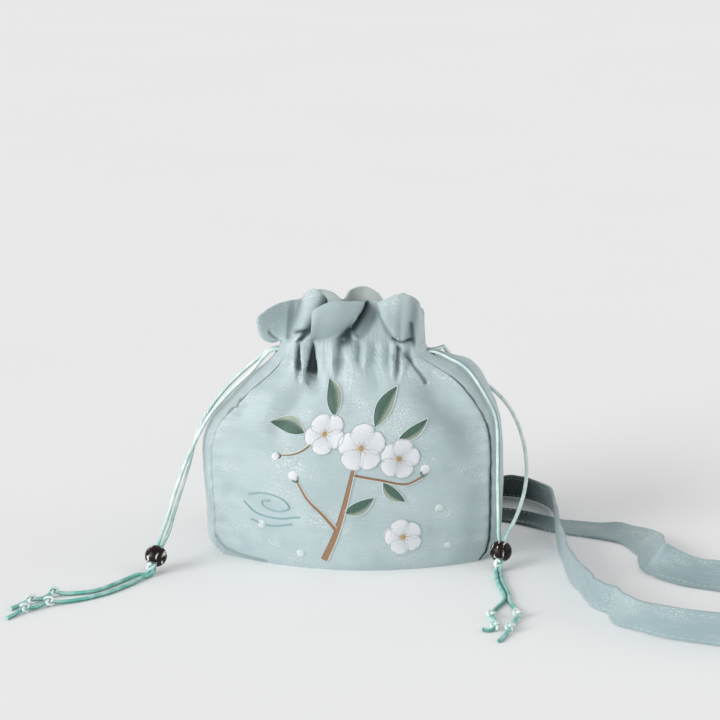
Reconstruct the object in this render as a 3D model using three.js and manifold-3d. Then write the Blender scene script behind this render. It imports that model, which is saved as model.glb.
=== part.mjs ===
// Drawstring shoulder bag: a gathered cloth pouch, two pairs of cords with beads, and a cloth shoulder strap.
// Millimetres, +Z up. The origin is the middle of the base on the floor, and the front faces -Y.

import * as THREE from "three";
import { mergeVertices } from "three/addons/utils/BufferGeometryUtils.js";
import Module from "manifold-3d";

const wasm = await Module();
wasm.setup();

// Driving sizes
const CLOTH = 1.4; // thickness of the bag's wall
const GAP = 0.3; // left between pieces that are seated together
const SEAM = 0.75; // left between two panels at their seam
const CORD_LINE = 150; // height of the drawstring in its casing
const CASING_TOP = 157; // height of the upper stitch line, where the frill begins
const HEM = 193; // mean height of the frill's hem
const CORD = 2.8; // diameter of the drawstring
const SLIT = { wide: 8.4, high: 4, through: 11.2 }; // opening in each side that a pair of cords leaves by
const BEAD = { radius: 7.8, half: 6.2, bore: 3.8, rim: 0.8 }; // drilled bead, half its length, hole and rim
const KNOT = { radius: 3.9, half: 3.4 }; // knot that stops the bead, and half its length
const END_KNOT = { radius: 2.7, half: 2.9 }; // small knots near the cord ends
const STRAP = { width: 25, thick: 1.8 };
const SEAM_REACH = 0.012; // this near a seam, in turns of a panel, the cloth's edges lie parallel

// Cloth section at each height: half the distance between the side seams, half the depth at the seams, how
// far the front, the back and the sides bulge past them, how far the right back seam leans out, and how far
// the lower left shoulder stays in
const SECTIONS = [
  { h: 0, width: 92, depth: 16, front: 25, back: 23, side: 4, lean: 0, left: 0 },
  { h: 5, width: 96, depth: 17, front: 27, back: 24, side: 6, lean: 0, left: 0 },
  { h: 14, width: 98.5, depth: 18, front: 28, back: 25, side: 7, lean: 0, left: 0 },
  { h: 45, width: 99, depth: 20, front: 28, back: 25, side: 8, lean: 0, left: 0 },
  { h: 80, width: 99, depth: 23, front: 23, back: 22, side: 8, lean: 0, left: 0 },
  { h: 101, width: 97, depth: 25, front: 18, back: 17, side: 6, lean: 3, left: 4 },
  { h: 113, width: 92, depth: 26, front: 14, back: 14, side: 4, lean: 6, left: 8.5 },
  { h: 124, width: 84, depth: 24.5, front: 11, back: 11, side: 4, lean: 7.5, left: 11 },
  { h: 135, width: 73.5, depth: 21, front: 9, back: 9, side: 5, lean: 8.5, left: 13.5 },
  { h: 143, width: 61.5, depth: 17, front: 7.5, back: 7, side: 6, lean: 9, left: 9.5 },
  { h: 150, width: 47.5, depth: 12.5, front: 6.5, back: 6, side: 6, lean: 1.5, left: 1 },
  { h: 158, width: 45, depth: 11.5, front: 6, back: 5.5, side: 6, lean: 0, left: 0 },
  { h: 193, width: 46, depth: 14, front: 8, back: 7, side: 7, lean: 0, left: 0 },
];

// Hem of the frill: each row is a fold or a hollow of the ruffle, above its place round the casing, which is
// 0 to 1 across the front, 1 to 2 over the right side, 2 to 3 across the back and 3 to 4 over the left side
const HEM_FOLDS = [
  { at: 0, x: -46, y: 6.5, z: 182.5 },
  { at: 0.02, x: -40, y: 8, z: 183.5 },
  { at: 0.035, x: -35.5, y: -3, z: 187.5 },
  { at: 0.05, x: -31.5, y: -13, z: 193.5 },
  { at: 0.067, x: -26.3, y: -19, z: 198.5 },
  { at: 0.085, x: -20.5, y: -22.5, z: 197 },
  { at: 0.102, x: -15.8, y: -20.5, z: 191.5 },
  { at: 0.12, x: -15.2, y: -15, z: 187 },
  { at: 0.138, x: -12.5, y: -21, z: 187 },
  { at: 0.157, x: -18, y: -28.5, z: 186 },
  { at: 0.178, x: -26, y: -33, z: 185 },
  { at: 0.2, x: -21, y: -38.5, z: 190.5 },
  { at: 0.225, x: -13, y: -41, z: 194.5 },
  { at: 0.25, x: -5, y: -39.8, z: 195 },
  { at: 0.28, x: 1.5, y: -34.5, z: 193.5 },
  { at: 0.315, x: 7, y: -26, z: 191.8 },
  { at: 0.36, x: 8.8, y: -15, z: 188 },
  { at: 0.42, x: 8.8, y: -4, z: 186 },
  { at: 0.49, x: 10.5, y: 2.5, z: 185.5 },
  { at: 0.57, x: 13.5, y: -4.5, z: 187 },
  { at: 0.65, x: 17, y: -13.5, z: 188.5 },
  { at: 0.72, x: 21, y: -21.5, z: 191 },
  { at: 0.79, x: 27.5, y: -26, z: 195.5 },
  { at: 0.86, x: 35, y: -26.5, z: 197.3 },
  { at: 0.93, x: 42, y: -24, z: 195.8 },
  { at: 1, x: 46.8, y: -18.5, z: 191 },
  { at: 1.2, x: 48.3, y: -10.5, z: 182 },
  { at: 1.5, x: 50, y: -2, z: 175 },
  { at: 1.75, x: 49, y: 8, z: 178 },
  { at: 2, x: 42, y: 15, z: 182 },
  { at: 2.09, x: 35, y: 23, z: 186 },
  { at: 2.16, x: 28, y: 20, z: 184 },
  { at: 2.24, x: 22, y: 14, z: 182 },
  { at: 2.34, x: 16, y: 23, z: 186 },
  { at: 2.44, x: 6, y: 28.5, z: 189 },
  { at: 2.54, x: -4, y: 25, z: 187 },
  { at: 2.64, x: -8, y: 14.5, z: 183 },
  { at: 2.75, x: -16, y: 22, z: 186 },
  { at: 2.84, x: -25, y: 26, z: 187 },
  { at: 2.92, x: -33, y: 22, z: 185 },
  { at: 3, x: -39, y: 16.5, z: 182 },
  { at: 3.2, x: -50, y: 14, z: 178 },
  { at: 3.4, x: -61, y: 5, z: 173.5 },
  { at: 3.55, x: -67.5, y: -5, z: 171.5 },
  { at: 3.66, x: -66, y: -10, z: 174.5 },
  { at: 3.78, x: -60, y: -5.5, z: 178.8 },
  { at: 3.9, x: -52.5, y: 1.5, z: 181.5 },
];

// Gathers below the casing across the front, which run straight down: ridges go out and grooves in, each at
// its share of the casing's width, and each ends at its foot
const GATHERS = [
  { at: 0, out: 0, foot: 140 },
  { at: 0.05, out: 0.4, foot: 138 },
  { at: 0.088, out: 1.2, foot: 136 },
  { at: 0.114, out: -4.5, foot: 131 },
  { at: 0.13, out: 1.5, foot: 129 },
  { at: 0.155, out: 5, foot: 128 },
  { at: 0.18, out: 4, foot: 128 },
  { at: 0.199, out: 0.6, foot: 128 },
  { at: 0.214, out: -5.2, foot: 128 },
  { at: 0.232, out: -1.6, foot: 130 },
  { at: 0.26, out: 0.4, foot: 134 },
  { at: 0.33, out: 1, foot: 137 },
  { at: 0.375, out: 2.4, foot: 134 },
  { at: 0.416, out: -2.8, foot: 132 },
  { at: 0.46, out: 0.6, foot: 138 },
  { at: 0.52, out: 1.4, foot: 140 },
  { at: 0.56, out: -2.2, foot: 138 },
  { at: 0.61, out: 1.8, foot: 137 },
  { at: 0.67, out: -1.4, foot: 138 },
  { at: 0.73, out: 0.8, foot: 138 },
  { at: 0.78, out: -1, foot: 137 },
  { at: 0.812, out: 2.4, foot: 133 },
  { at: 0.842, out: -4, foot: 131 },
  { at: 0.88, out: 1.6, foot: 133 },
  { at: 0.92, out: -1.8, foot: 136 },
  { at: 0.96, out: 0, foot: 138 },
  { at: 1, out: 0, foot: 140 },
];

// Gathers of the back, which lie flat where the strap is sewn on
const BACK_GATHERS = [
  { at: 0, out: 0, foot: 140 },
  { at: 0.08, out: 0, foot: 140 },
  { at: 0.13, out: -2.4, foot: 134 },
  { at: 0.19, out: 2.2, foot: 133 },
  { at: 0.24, out: -1.2, foot: 134 },
  { at: 0.29, out: -3, foot: 131 },
  { at: 0.34, out: 2.4, foot: 132 },
  { at: 0.39, out: -2, foot: 133 },
  { at: 0.45, out: 2.6, foot: 132 },
  { at: 0.5, out: -3, foot: 130 },
  { at: 0.55, out: 1.4, foot: 134 },
  { at: 0.61, out: -2.4, foot: 131 },
  { at: 0.66, out: 2.6, foot: 132 },
  { at: 0.71, out: -3, foot: 131 },
  { at: 0.77, out: 1.8, foot: 133 },
  { at: 0.83, out: -2.6, foot: 132 },
  { at: 0.88, out: 1, foot: 135 },
  { at: 0.93, out: 0, foot: 140 },
  { at: 1, out: 0, foot: 140 },
];
const GATHERED = 0.6; // share of the way up to the drawstring at which the gathers are full
const RELEASE = 0.75; // share of the gathers that is gone where the frill begins
// The frill flares from its foot at once near the left front seam, and less elsewhere
const FLARE = { reach: 0.36, least: 0.45 };
// The left fold of the frill droops out over the cords
const DROOP = { deep: 8, at: 3.55, reach: 0.22 };
// The right side's shoulder stands up, highest a little behind its middle
const HUMP = { rise: 7, at: 1.6, front: 0.42, back: 0.3, rises: [112, 132], falls: [134, 150] };
const ARCH = { rise: 6, foot: 118 }; // extra rise of the front's and back's middle, and where it starts

// Heights of the rows of the wall: few below the gathers, then twice as many points a row
const PLAIN_ROWS = [0, 4, 12, 38, 70, 96];
const GATHERED_ROWS = [112, 124, 131, 137, 143, 150, 157, 164, 177, 193];
const PLAIN_COLUMNS = { front: 28, back: 18, side: 6 };
const CROWDING = { front: 0.5, back: 0, side: 0 }; // columns crowd where the front's folds are deepest
const CROWDED_AT = 0.15;
const BASE_COLUMNS = [24, 6, 24, 6]; // steps of the base's outline along each wall
const BODY_STEP = 0.02; // places this far apart, in turns of a panel, give the way along the body
const HEM_STEP = 0.008; // and along the folds of the hem
const FAR_SEAM = 0.999; // just before a panel's second seam

// Each side's bead: its middle, and the way that its hole runs, down to the knot
const BEADS = {
  left: { at: [-135, -52, 11.5], axis: [-0.25, -0.66, -0.71] },
  right: { at: [106.5, -29, 12.5], axis: [-0.1, -0.62, -0.78] },
};

// Routes of the cords from the slits over the shoulders to the beads
const STRANDS = {
  drawstring_left_front: [
    [-50, -2.2, 150], [-57, -2.5, 149.5], [-62, -3, 145.4], [-67.6, -3.6, 138.6], [-74, -4.2, 131.4],
    [-82, -5.2, 124], [-91, -6.6, 114.6], [-99.6, -9, 104.4], [-106.5, -12.6, 93.4], [-112, -16.8, 82.5],
    [-117.2, -21.6, 71], [-121.8, -27, 58], [-125.6, -32.4, 45.5], [-129, -37.8, 33.5],
    [-132.6, -42, 23.8],
  ],
  drawstring_left_back: [
    [-50, 2.2, 150], [-57, 2.4, 149.4], [-62.5, 2.6, 146], [-69, 2.4, 140.5], [-76.5, 1.9, 134],
    [-84.5, 1, 126.5], [-93.5, -0.4, 116.6], [-101.5, -2.6, 105.8], [-108, -6.2, 94], [-112.4, -11.2, 82],
    [-115.2, -16.4, 69.4], [-118.8, -21.6, 57], [-122.2, -27, 45], [-125.4, -32.6, 34],
    [-127.8, -37.8, 24.5],
  ],
  drawstring_right_front: [
    [50, -2.2, 150], [56, -2.7, 150.6], [61.2, -4.8, 150], [69.5, -8.2, 147], [75.8, -9.8, 144.2],
    [81, -11.4, 140.5], [85.7, -12.8, 135.2], [90.7, -14, 127.8], [95.3, -15.1, 120.1],
    [98.7, -16.2, 114.2], [101.1, -18.4, 108.2], [102.3, -20.2, 102.6], [103, -21.6, 92],
    [103.3, -22.4, 80], [103.5, -23, 68], [103.8, -23.4, 56], [104.2, -23.6, 44.5], [104.6, -23.5, 33],
    [104.8, -23.4, 24],
  ],
  drawstring_right_back: [
    [50, 2.2, 150], [56.2, 2.1, 150.7], [60.2, 4.2, 151], [62.4, 9.2, 150.6], [63.7, 15, 149.2],
    [65, 20.4, 145.6], [68.2, 25, 140], [72.4, 27.6, 135], [78, 28.8, 130], [84, 29.3, 125],
    [91.4, 29, 119.6], [99.6, 27.6, 113.7], [107.4, 24, 106.8], [114.4, 20.4, 97], [119.2, 17.6, 86],
    [122.4, 13, 74.5], [123.8, 7.5, 62.5], [123, 1, 51], [120, -7, 40], [115.4, -15, 30],
    [110.4, -20.6, 22],
  ],
};

// Cord ends on the floor below the knots, and which points of each route carry a small knot
const TAIL_KNOTS = [7, 9];
const TAILS = {
  tail_left_upper: { from: "left", beside: 1, route: [
    [-147, -65, 2.1], [-153, -72, 1.6], [-160, -82, 1.6], [-166, -90, 1.6], [-173, -96, 1.6],
    [-182, -99.5, 1.6], [-190, -101.5, 1.9], [-197, -103, 3], [-203, -111, 1.9], [-210, -117, 3],
    [-216, -123, 1.7], [-221, -130, 1.6],
  ] },
  tail_left_lower: { from: "left", beside: -1, route: [
    [-142.5, -70, 2.1], [-147, -78, 1.6], [-153, -87, 1.6], [-160, -96, 1.6], [-169, -104.5, 1.6],
    [-179, -111.5, 1.6], [-188, -116, 1.9], [-197, -120, 3], [-205, -127, 1.9], [-211, -132, 3],
    [-216, -139, 1.7], [-220, -146, 1.6],
  ] },
  tail_right_inner: { from: "right", beside: 1, route: [
    [103.8, -50, 2.1], [105, -61, 1.6], [107.2, -72, 1.6], [109.2, -83, 1.6], [109.2, -93, 1.6],
    [105.4, -103.5, 1.6], [102, -113, 1.9], [100.8, -122, 3], [103.6, -131, 1.9], [104, -140, 3],
    [100, -144, 1.7], [95.5, -142.5, 1.6],
  ] },
  tail_right_outer: { from: "right", beside: -1, route: [
    [107, -50, 2.1], [108.3, -61, 1.6], [110.5, -72, 1.6], [112.5, -83, 1.6], [113, -93, 1.6],
    [115.8, -103, 1.6], [118, -111, 1.9], [118.4, -119, 3], [116, -130.5, 1.9], [113.6, -142, 3],
    [110, -152, 1.7], [106.5, -161, 1.6],
  ] },
};

// Middle line of the strap, from its right end on the back of the bag, along the floor and round the loop
// to its left end: lift above lying on the floor, and the way its inner edge points, round and up
const STRAP_STATIONS = [
  { x: 55, y: 32.45, lift: 127, heading: -9, tilt: 0 },
  { x: 55.4, y: 36.65, lift: 116, heading: -9.5, tilt: 0 },
  { x: 56, y: 38.45, lift: 102, heading: -10.5, tilt: 0 },
  { x: 57, y: 40.5, lift: 78, heading: -9, tilt: 0 },
  { x: 58, y: 44.5, lift: 52, heading: 0, tilt: 0 },
  { x: 60, y: 53, lift: 32, heading: -6, tilt: 0 },
  { x: 67, y: 68, lift: 17, heading: -22, tilt: 4 },
  { x: 78, y: 90, lift: 7, heading: -32, tilt: 14 },
  { x: 91, y: 107, lift: 2, heading: -50, tilt: 32 },
  { x: 106, y: 114, lift: 0, heading: -82, tilt: 54 },
  { x: 123.5, y: 110, lift: 0, heading: -118, tilt: 59 },
  { x: 136.8, y: 95.5, lift: 0, heading: -150, tilt: 62 },
  { x: 143.4, y: 75, lift: 2.5, heading: -170, tilt: 72 },
  { x: 145.8, y: 50, lift: 4.5, heading: -175, tilt: 82 },
  { x: 147.2, y: 16, lift: 1.2, heading: -175, tilt: 86 },
  { x: 151, y: -22, lift: 0, heading: -170, tilt: 86 },
  { x: 154, y: -49, lift: 0, heading: -163, tilt: 85 },
  { x: 161, y: -76, lift: 0, heading: -152, tilt: 84 },
  { x: 171.5, y: -103, lift: 0, heading: -143, tilt: 83 },
  { x: 185.5, y: -127.5, lift: 0, heading: -132, tilt: 82 },
  { x: 210.5, y: -147, lift: 0, heading: -115, tilt: 81 },
  { x: 250, y: -159, lift: 0, heading: -105, tilt: 81 },
  { x: 290, y: -160, lift: 0, heading: -90, tilt: 84 },
  { x: 322, y: -146, lift: 0, heading: -40, tilt: 87 },
  { x: 335, y: -115, lift: 0, heading: 10, tilt: 87 },
  { x: 323, y: -80, lift: 0, heading: 50, tilt: 82 },
  { x: 292, y: -61.5, lift: 0, heading: 80, tilt: 50 },
  { x: 260, y: -54.1, lift: 0, heading: 69, tilt: 34 },
  { x: 233.1, y: -43.9, lift: 0, heading: 56, tilt: 36 },
  { x: 214, y: -27, lift: 0, heading: 26, tilt: 56 },
  { x: 212, y: 8, lift: 0, heading: 12, tilt: 30 },
  { x: 203.5, y: 30, lift: 0, heading: 42, tilt: 14 },
  { x: 184.5, y: 42.5, lift: 0, heading: 70, tilt: 7 },
  { x: 151, y: 54.8, lift: 0, heading: 70, tilt: 1 },
  { x: 124, y: 70.5, lift: 0, heading: 62, tilt: 0 },
  { x: 103, y: 77, lift: 0, heading: 76, tilt: 2 },
  { x: 70, y: 78, lift: 0, heading: 87, tilt: 4 },
  { x: 20, y: 73, lift: 0, heading: 90, tilt: 4 },
  { x: -24, y: 68, lift: 2, heading: 90, tilt: 2 },
  { x: -46, y: 64, lift: 16, heading: 88, tilt: 0 },
  { x: -55, y: 59, lift: 38, heading: 78, tilt: 0 },
  { x: -57, y: 52, lift: 60, heading: 42, tilt: 0 },
  { x: -57, y: 43.2, lift: 82, heading: 13, tilt: 0 },
  { x: -56, y: 37.1, lift: 102, heading: 12, tilt: 0 },
  { x: -55.4, y: 33.75, lift: 116, heading: 12, tilt: 0 },
  { x: -55, y: 28.85, lift: 127, heading: 13, tilt: 0 },
];
const STRAP_STEPS = 96;
const STRAP_REACH = 0.1; // stations this far apart give the way along the strap
const LYING = 0.05; // what lies on the floor is this far above it

// Cords at the beads and knots
const BESIDE = CORD / 2 + 0.2; // half the distance between two cords in a bead
const STRAND_END = BEAD.half - 1.2; // from the bead's middle to the end of the strand at the knot
const KNOT_PLACE = STRAND_END + GAP + KNOT.half; // from the bead's middle to the knot's
const TAIL_START = KNOT_PLACE + KNOT.half + 1.4; // and to where the cord ends come out of the knot
const TAIL_REST = CORD / 2 + 0.2; // least height of a cord end's middle line

// Sides and steps of the round pieces
const CORD_SIDES = 8;
const STRAND_STEPS = 22;
const TAIL_STEPS = 16;
const KNOT_SIDES = { round: 8, along: 5 };
const BEAD_SIDES = { round: 12, along: 8 };

const COLOURS = {
  cloth: { color: 0xa9bcbc, roughness: 0.55, metalness: 0 },
  strap: { color: 0x9fb2b4, roughness: 0.55, metalness: 0 },
  cord: { color: 0xb4dcd4, roughness: 0.4, metalness: 0 },
  bead: { color: 0x2d201e, roughness: 0.25, metalness: 0 },
};

// Smooth value of a table's column between its rows
function smooth(table, key, column, at) {
  let row = 0;
  while (row < table.length - 2 && at > table[row + 1][key]) row += 1;
  const place = (i) => table[THREE.MathUtils.clamp(i, 0, table.length - 1)];
  const slope = (i) => {
    const before = place(i - 1);
    const after = place(i + 1);
    return (after[column] - before[column]) / (after[key] - before[key]);
  };
  const start = table[row];
  const end = table[row + 1];
  const span = end[key] - start[key];
  const t = THREE.MathUtils.clamp((at - start[key]) / span, 0, 1);
  const rest = 1 - t;
  return (1 + 2 * t) * rest * rest * start[column] + t * rest * rest * span * slope(row)
    + t * t * (3 - 2 * t) * end[column] - t * t * rest * span * slope(row + 1);
}

// The hem again before and after one turn, so that it closes on itself
const TURN = 4;
const HEM_LOOP = [-TURN, 0, TURN].flatMap((shift) => {
  return HEM_FOLDS.map((fold) => ({ ...fold, at: fold.at + shift }));
});

// How far the gathers stand out at a place and height: none in the body and on the sides, most at the casing
function gathers(u, h) {
  const panel = Math.floor(u);
  if (panel % 2 === 1) return 0;
  const table = panel === 0 ? GATHERS : BACK_GATHERS;
  const share = sectionPoint(u, h).x / (2 * smooth(SECTIONS, "h", "width", CORD_LINE));
  const place = THREE.MathUtils.clamp(0.5 + share, 0, 1);
  const foot = smooth(table, "at", "foot", place);
  const held = 1 - RELEASE * THREE.MathUtils.smoothstep(h, CORD_LINE, CASING_TOP);
  const top = THREE.MathUtils.lerp(foot, CORD_LINE, GATHERED);
  return smooth(table, "at", "out", place) * THREE.MathUtils.smoothstep(h, foot, top) * held;
}

// Point of the section at place u round the bag, before gathers and folds
function sectionPoint(u, h) {
  const column = (name) => smooth(SECTIONS, "h", name, h);
  const panel = Math.floor(u);
  const across = 2 * (u - panel) - 1;
  const bow = 1 - across * across;
  const width = column("width");
  const depth = column("depth");
  const lean = column("lean") / 2;
  const left = column("left");
  const places = [
    () => [width * across + left * (1 - across) / 2, -depth - column("front") * bow],
    () => [width + lean * (1 + across) + column("side") * bow, depth * across],
    () => [lean * (1 - across) - width * across + left * (1 + across) / 2, depth + column("back") * bow],
    () => [left - width - column("side") * bow, -depth * across],
  ];
  const [x, y] = places[panel]();
  const arch = panel % 2 === 0 ? ARCH.rise * bow * THREE.MathUtils.smoothstep(h, ARCH.foot, CORD_LINE) : 0;
  const away = (u - HUMP.at) / (u < HUMP.at ? HUMP.front : HUMP.back);
  const rising = THREE.MathUtils.smoothstep(h, ...HUMP.rises) - THREE.MathUtils.smoothstep(h, ...HUMP.falls);
  return new THREE.Vector3(x, y, h + arch + HUMP.rise * Math.exp(-away * away) * rising);
}

// Mean of the directions just before and just after a place, so that two panels share it at their seam
function meanDirection(point, at, step) {
  const here = point(at);
  const before = here.clone().sub(point(at - step)).normalize();
  const after = point(at + step).sub(here).normalize();
  return before.add(after).normalize();
}

const wrapped = (u) => THREE.MathUtils.euclideanModulo(u, TURN);
const UP = new THREE.Vector3(0, 0, 1);

// Outer face of the gathered body and casing
function bodyPoint(u, h) {
  const point = sectionPoint(u, h);
  const along = meanDirection((place) => sectionPoint(wrapped(place), h), u, BODY_STEP);
  return point.addScaledVector(along.cross(UP), gathers(u, h));
}

// Outer face of all the cloth: above the casing it spreads from the gathers to the folds of the hem
function outerPoint(u, h) {
  const at = wrapped(u);
  if (h <= CASING_TOP) return bodyPoint(at, h);
  const foot = bodyPoint(at, CASING_TOP);
  const rise = (h - CASING_TOP) / (HEM - CASING_TOP);
  const fromSeam = Math.min(at, TURN - at);
  const quick = THREE.MathUtils.lerp(FLARE.least, 1, Math.exp(-((fromSeam / FLARE.reach) ** 4)));
  const up = Math.min(rise, 1);
  const spread = THREE.MathUtils.lerp(up * up * (3 - 2 * up), 1 - (1 - up) ** 2, quick);
  const hem = (column) => smooth(HEM_LOOP, "at", column, at);
  const droop = DROOP.deep * Math.exp(-(((at - DROOP.at) / DROOP.reach) ** 2)) * 4 * up * (1 - up);
  return new THREE.Vector3(
    THREE.MathUtils.lerp(foot.x, hem("x"), spread),
    THREE.MathUtils.lerp(foot.y, hem("y"), spread),
    THREE.MathUtils.lerp(foot.z, hem("z"), rise) - droop,
  );
}

// Way through the cloth from its outer face to its inner one
function inwardAt(u, h) {
  const along = meanDirection((place) => outerPoint(place, h), u, HEM_STEP);
  const rise = outerPoint(u, h + 1).sub(outerPoint(u, h - 1));
  const inward = rise.cross(along).normalize();
  return h < PLAIN_ROWS[2] ? inward.setZ(0).normalize() : inward;
}

// Inner face: the outer one moved in by the cloth's thickness, the same way in both panels at a seam
function innerPoint(u, h) {
  const seam = Math.round(u);
  const nearSeam = Math.abs(u - seam) < SEAM_REACH;
  return outerPoint(u, h).addScaledVector(inwardAt(nearSeam ? seam : u, h), CLOTH);
}

// Solid made of faces between rows of points
class Solid {
  constructor() {
    this.points = [];
    this.faces = [];
  }

  row(points) {
    const first = this.points.length;
    this.points.push(...points);
    return points.map((_, i) => first + i);
  }

  // Faces between two rows: the upper one has as many steps as the lower one, or twice as many
  band(lower, upper) {
    const ratio = (upper.length - 1) / (lower.length - 1);
    for (let i = 0; i < lower.length - 1; i += 1) {
      const above = upper.slice(i * ratio, (i + 1) * ratio + 1);
      this.faces.push(lower[i], lower[i + 1], above[ratio]);
      for (let k = ratio; k > 0; k -= 1) this.faces.push(lower[i], above[k], above[k - 1]);
    }
  }

  geometry() {
    const geometry = new THREE.BufferGeometry();
    geometry.setFromPoints(this.points);
    geometry.setIndex(this.faces);
    return geometry;
  }
}

// Place of a column across a panel
function columnPlace(share, crowding) {
  const swing = (at) => Math.sin(2 * Math.PI * (at - CROWDED_AT));
  return share - crowding / (2 * Math.PI) * (swing(share) - swing(0));
}

// One cloth panel from the base to the hem, between two seams
function panelGeometry(panel, kind) {
  const solid = new Solid();
  const rows = [...PLAIN_ROWS, ...GATHERED_ROWS].map((h) => {
    const count = PLAIN_COLUMNS[kind] * (h < GATHERED_ROWS[0] ? 1 : 2);
    const width = sectionPoint(panel, h).distanceTo(sectionPoint(panel + FAR_SEAM, h));
    const margin = SEAM / 2 / width;
    const places = Array.from({ length: count + 1 }, (_, i) => {
      return panel + margin + (1 - 2 * margin) * columnPlace(i / count, CROWDING[kind]);
    });
    return {
      outer: solid.row(places.map((u) => outerPoint(u, h))),
      inner: solid.row(places.map((u) => innerPoint(u, h))),
    };
  });
  for (let k = 0; k < rows.length - 1; k += 1) {
    solid.band(rows[k].outer, rows[k + 1].outer);
    solid.band([...rows[k].inner].reverse(), [...rows[k + 1].inner].reverse());
  }
  const bottom = rows[0];
  const top = rows[rows.length - 1];
  solid.band(bottom.inner, bottom.outer);
  solid.band(top.outer, top.inner);
  solid.band(rows.map((row) => row.outer[0]), rows.map((row) => row.inner[0]));
  solid.band(rows.map((row) => row.inner.at(-1)), rows.map((row) => row.outer.at(-1)));
  return solid.geometry();
}

const SAME_POINT = 1e-4;

// Closed solid for joining and cutting, and back
function toManifold(geometry) {
  const bare = geometry.clone();
  bare.deleteAttribute("normal");
  bare.deleteAttribute("uv");
  const merged = mergeVertices(bare, SAME_POINT);
  return new wasm.Manifold(new wasm.Mesh({
    numProp: 3,
    vertProperties: new Float32Array(merged.attributes.position.array),
    triVerts: new Uint32Array(merged.index.array),
  }));
}

function fromManifold(solid) {
  const mesh = solid.getMesh();
  const geometry = new THREE.BufferGeometry();
  geometry.setAttribute("position", new THREE.BufferAttribute(mesh.vertProperties, 3));
  geometry.setIndex(new THREE.BufferAttribute(mesh.triVerts, 1));
  return geometry;
}

// Side cloth with the slit for its two cords
function gussetGeometry(panel, towards) {
  const middle = outerPoint(panel + 0.5, CORD_LINE);
  const slit = new THREE.BoxGeometry(SLIT.through, SLIT.wide, SLIT.high);
  slit.translate(middle.x - towards * CLOTH / 2, 0, CORD_LINE);
  return fromManifold(toManifold(panelGeometry(panel, "side")).subtract(toManifold(slit)));
}

// Flat base that fills the foot of the four walls
function baseGeometry() {
  const places = BASE_COLUMNS.flatMap((count, panel) => {
    return Array.from({ length: count }, (_, i) => panel + i / count);
  });
  const corners = places.map((u) => {
    const point = outerPoint(u, 0).addScaledVector(inwardAt(u, 0), CLOTH + GAP);
    return new THREE.Vector2(point.x, point.y);
  });
  return new THREE.ExtrudeGeometry(new THREE.Shape(corners), { depth: CLOTH, bevelEnabled: false });
}

// Round section of a cord
function cordSection() {
  const corners = Array.from({ length: CORD_SIDES }, (_, i) => {
    const turn = 2 * Math.PI * (i + 0.5) / CORD_SIDES;
    return new THREE.Vector2(Math.cos(turn), Math.sin(turn)).multiplyScalar(CORD / 2);
  });
  return new THREE.Shape(corners);
}

function cordGeometry(points, steps) {
  const path = new THREE.CatmullRomCurve3(points, false, "centripetal");
  return new THREE.ExtrudeGeometry(cordSection(), { steps, extrudePath: path, bevelEnabled: false });
}

const vector = (xyz) => new THREE.Vector3(...xyz);

// A bead's hole, the way across it, and points along it
function hole(side) {
  const at = vector(BEADS[side].at);
  const axis = vector(BEADS[side].axis).normalize();
  const across = axis.clone().cross(UP).normalize();
  const point = (along, beside) => at.clone().addScaledVector(axis, along).addScaledVector(across, beside);
  return { axis, point };
}

function strandGeometry(name, route) {
  const side = name.includes("left") ? "left" : "right";
  const { point } = hole(side);
  const beside = name.includes("front") ? BESIDE : -BESIDE;
  const ends = [-BEAD.half, 0, STRAND_END].map((along) => point(along, beside));
  return cordGeometry([...route.map(vector), ...ends], STRAND_STEPS);
}

function knotGeometry({ radius, half }) {
  return new THREE.SphereGeometry(radius, KNOT_SIDES.round, KNOT_SIDES.along).scale(1, half / radius, 1);
}

function turnedTo(geometry, axis, at) {
  const turn = new THREE.Quaternion().setFromUnitVectors(new THREE.Vector3(0, 1, 0), axis);
  return geometry.applyQuaternion(turn).translate(at.x, at.y, at.z);
}

function tailGeometry({ from, beside, route }) {
  const { point } = hole(from);
  const start = point(TAIL_START, beside * BESIDE);
  start.z = Math.max(start.z, TAIL_REST);
  let solid = toManifold(cordGeometry([start, ...route.map(vector)], TAIL_STEPS));
  for (const place of TAIL_KNOTS) {
    const along = vector(route[place + 1]).sub(vector(route[place - 1])).normalize();
    const lump = turnedTo(knotGeometry(END_KNOT), along, vector(route[place]));
    solid = solid.add(toManifold(lump));
  }
  return fromManifold(solid);
}

// Drilled bead with rounded ends
function beadGeometry(side) {
  const { axis, point } = hole(side);
  const profile = [new THREE.Vector2(BEAD.bore, BEAD.half), new THREE.Vector2(BEAD.bore, -BEAD.half)];
  const bow = Math.acos((BEAD.bore + BEAD.rim) / BEAD.radius);
  for (let i = 0; i <= BEAD_SIDES.along; i += 1) {
    const turn = bow * (2 * i / BEAD_SIDES.along - 1);
    const height = BEAD.half * Math.sin(turn) / Math.sin(bow);
    profile.push(new THREE.Vector2(BEAD.radius * Math.cos(turn), height));
  }
  profile.push(profile[0].clone());
  return turnedTo(new THREE.LatheGeometry(profile, BEAD_SIDES.round), axis.clone().negate(), point(0, 0));
}

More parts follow.
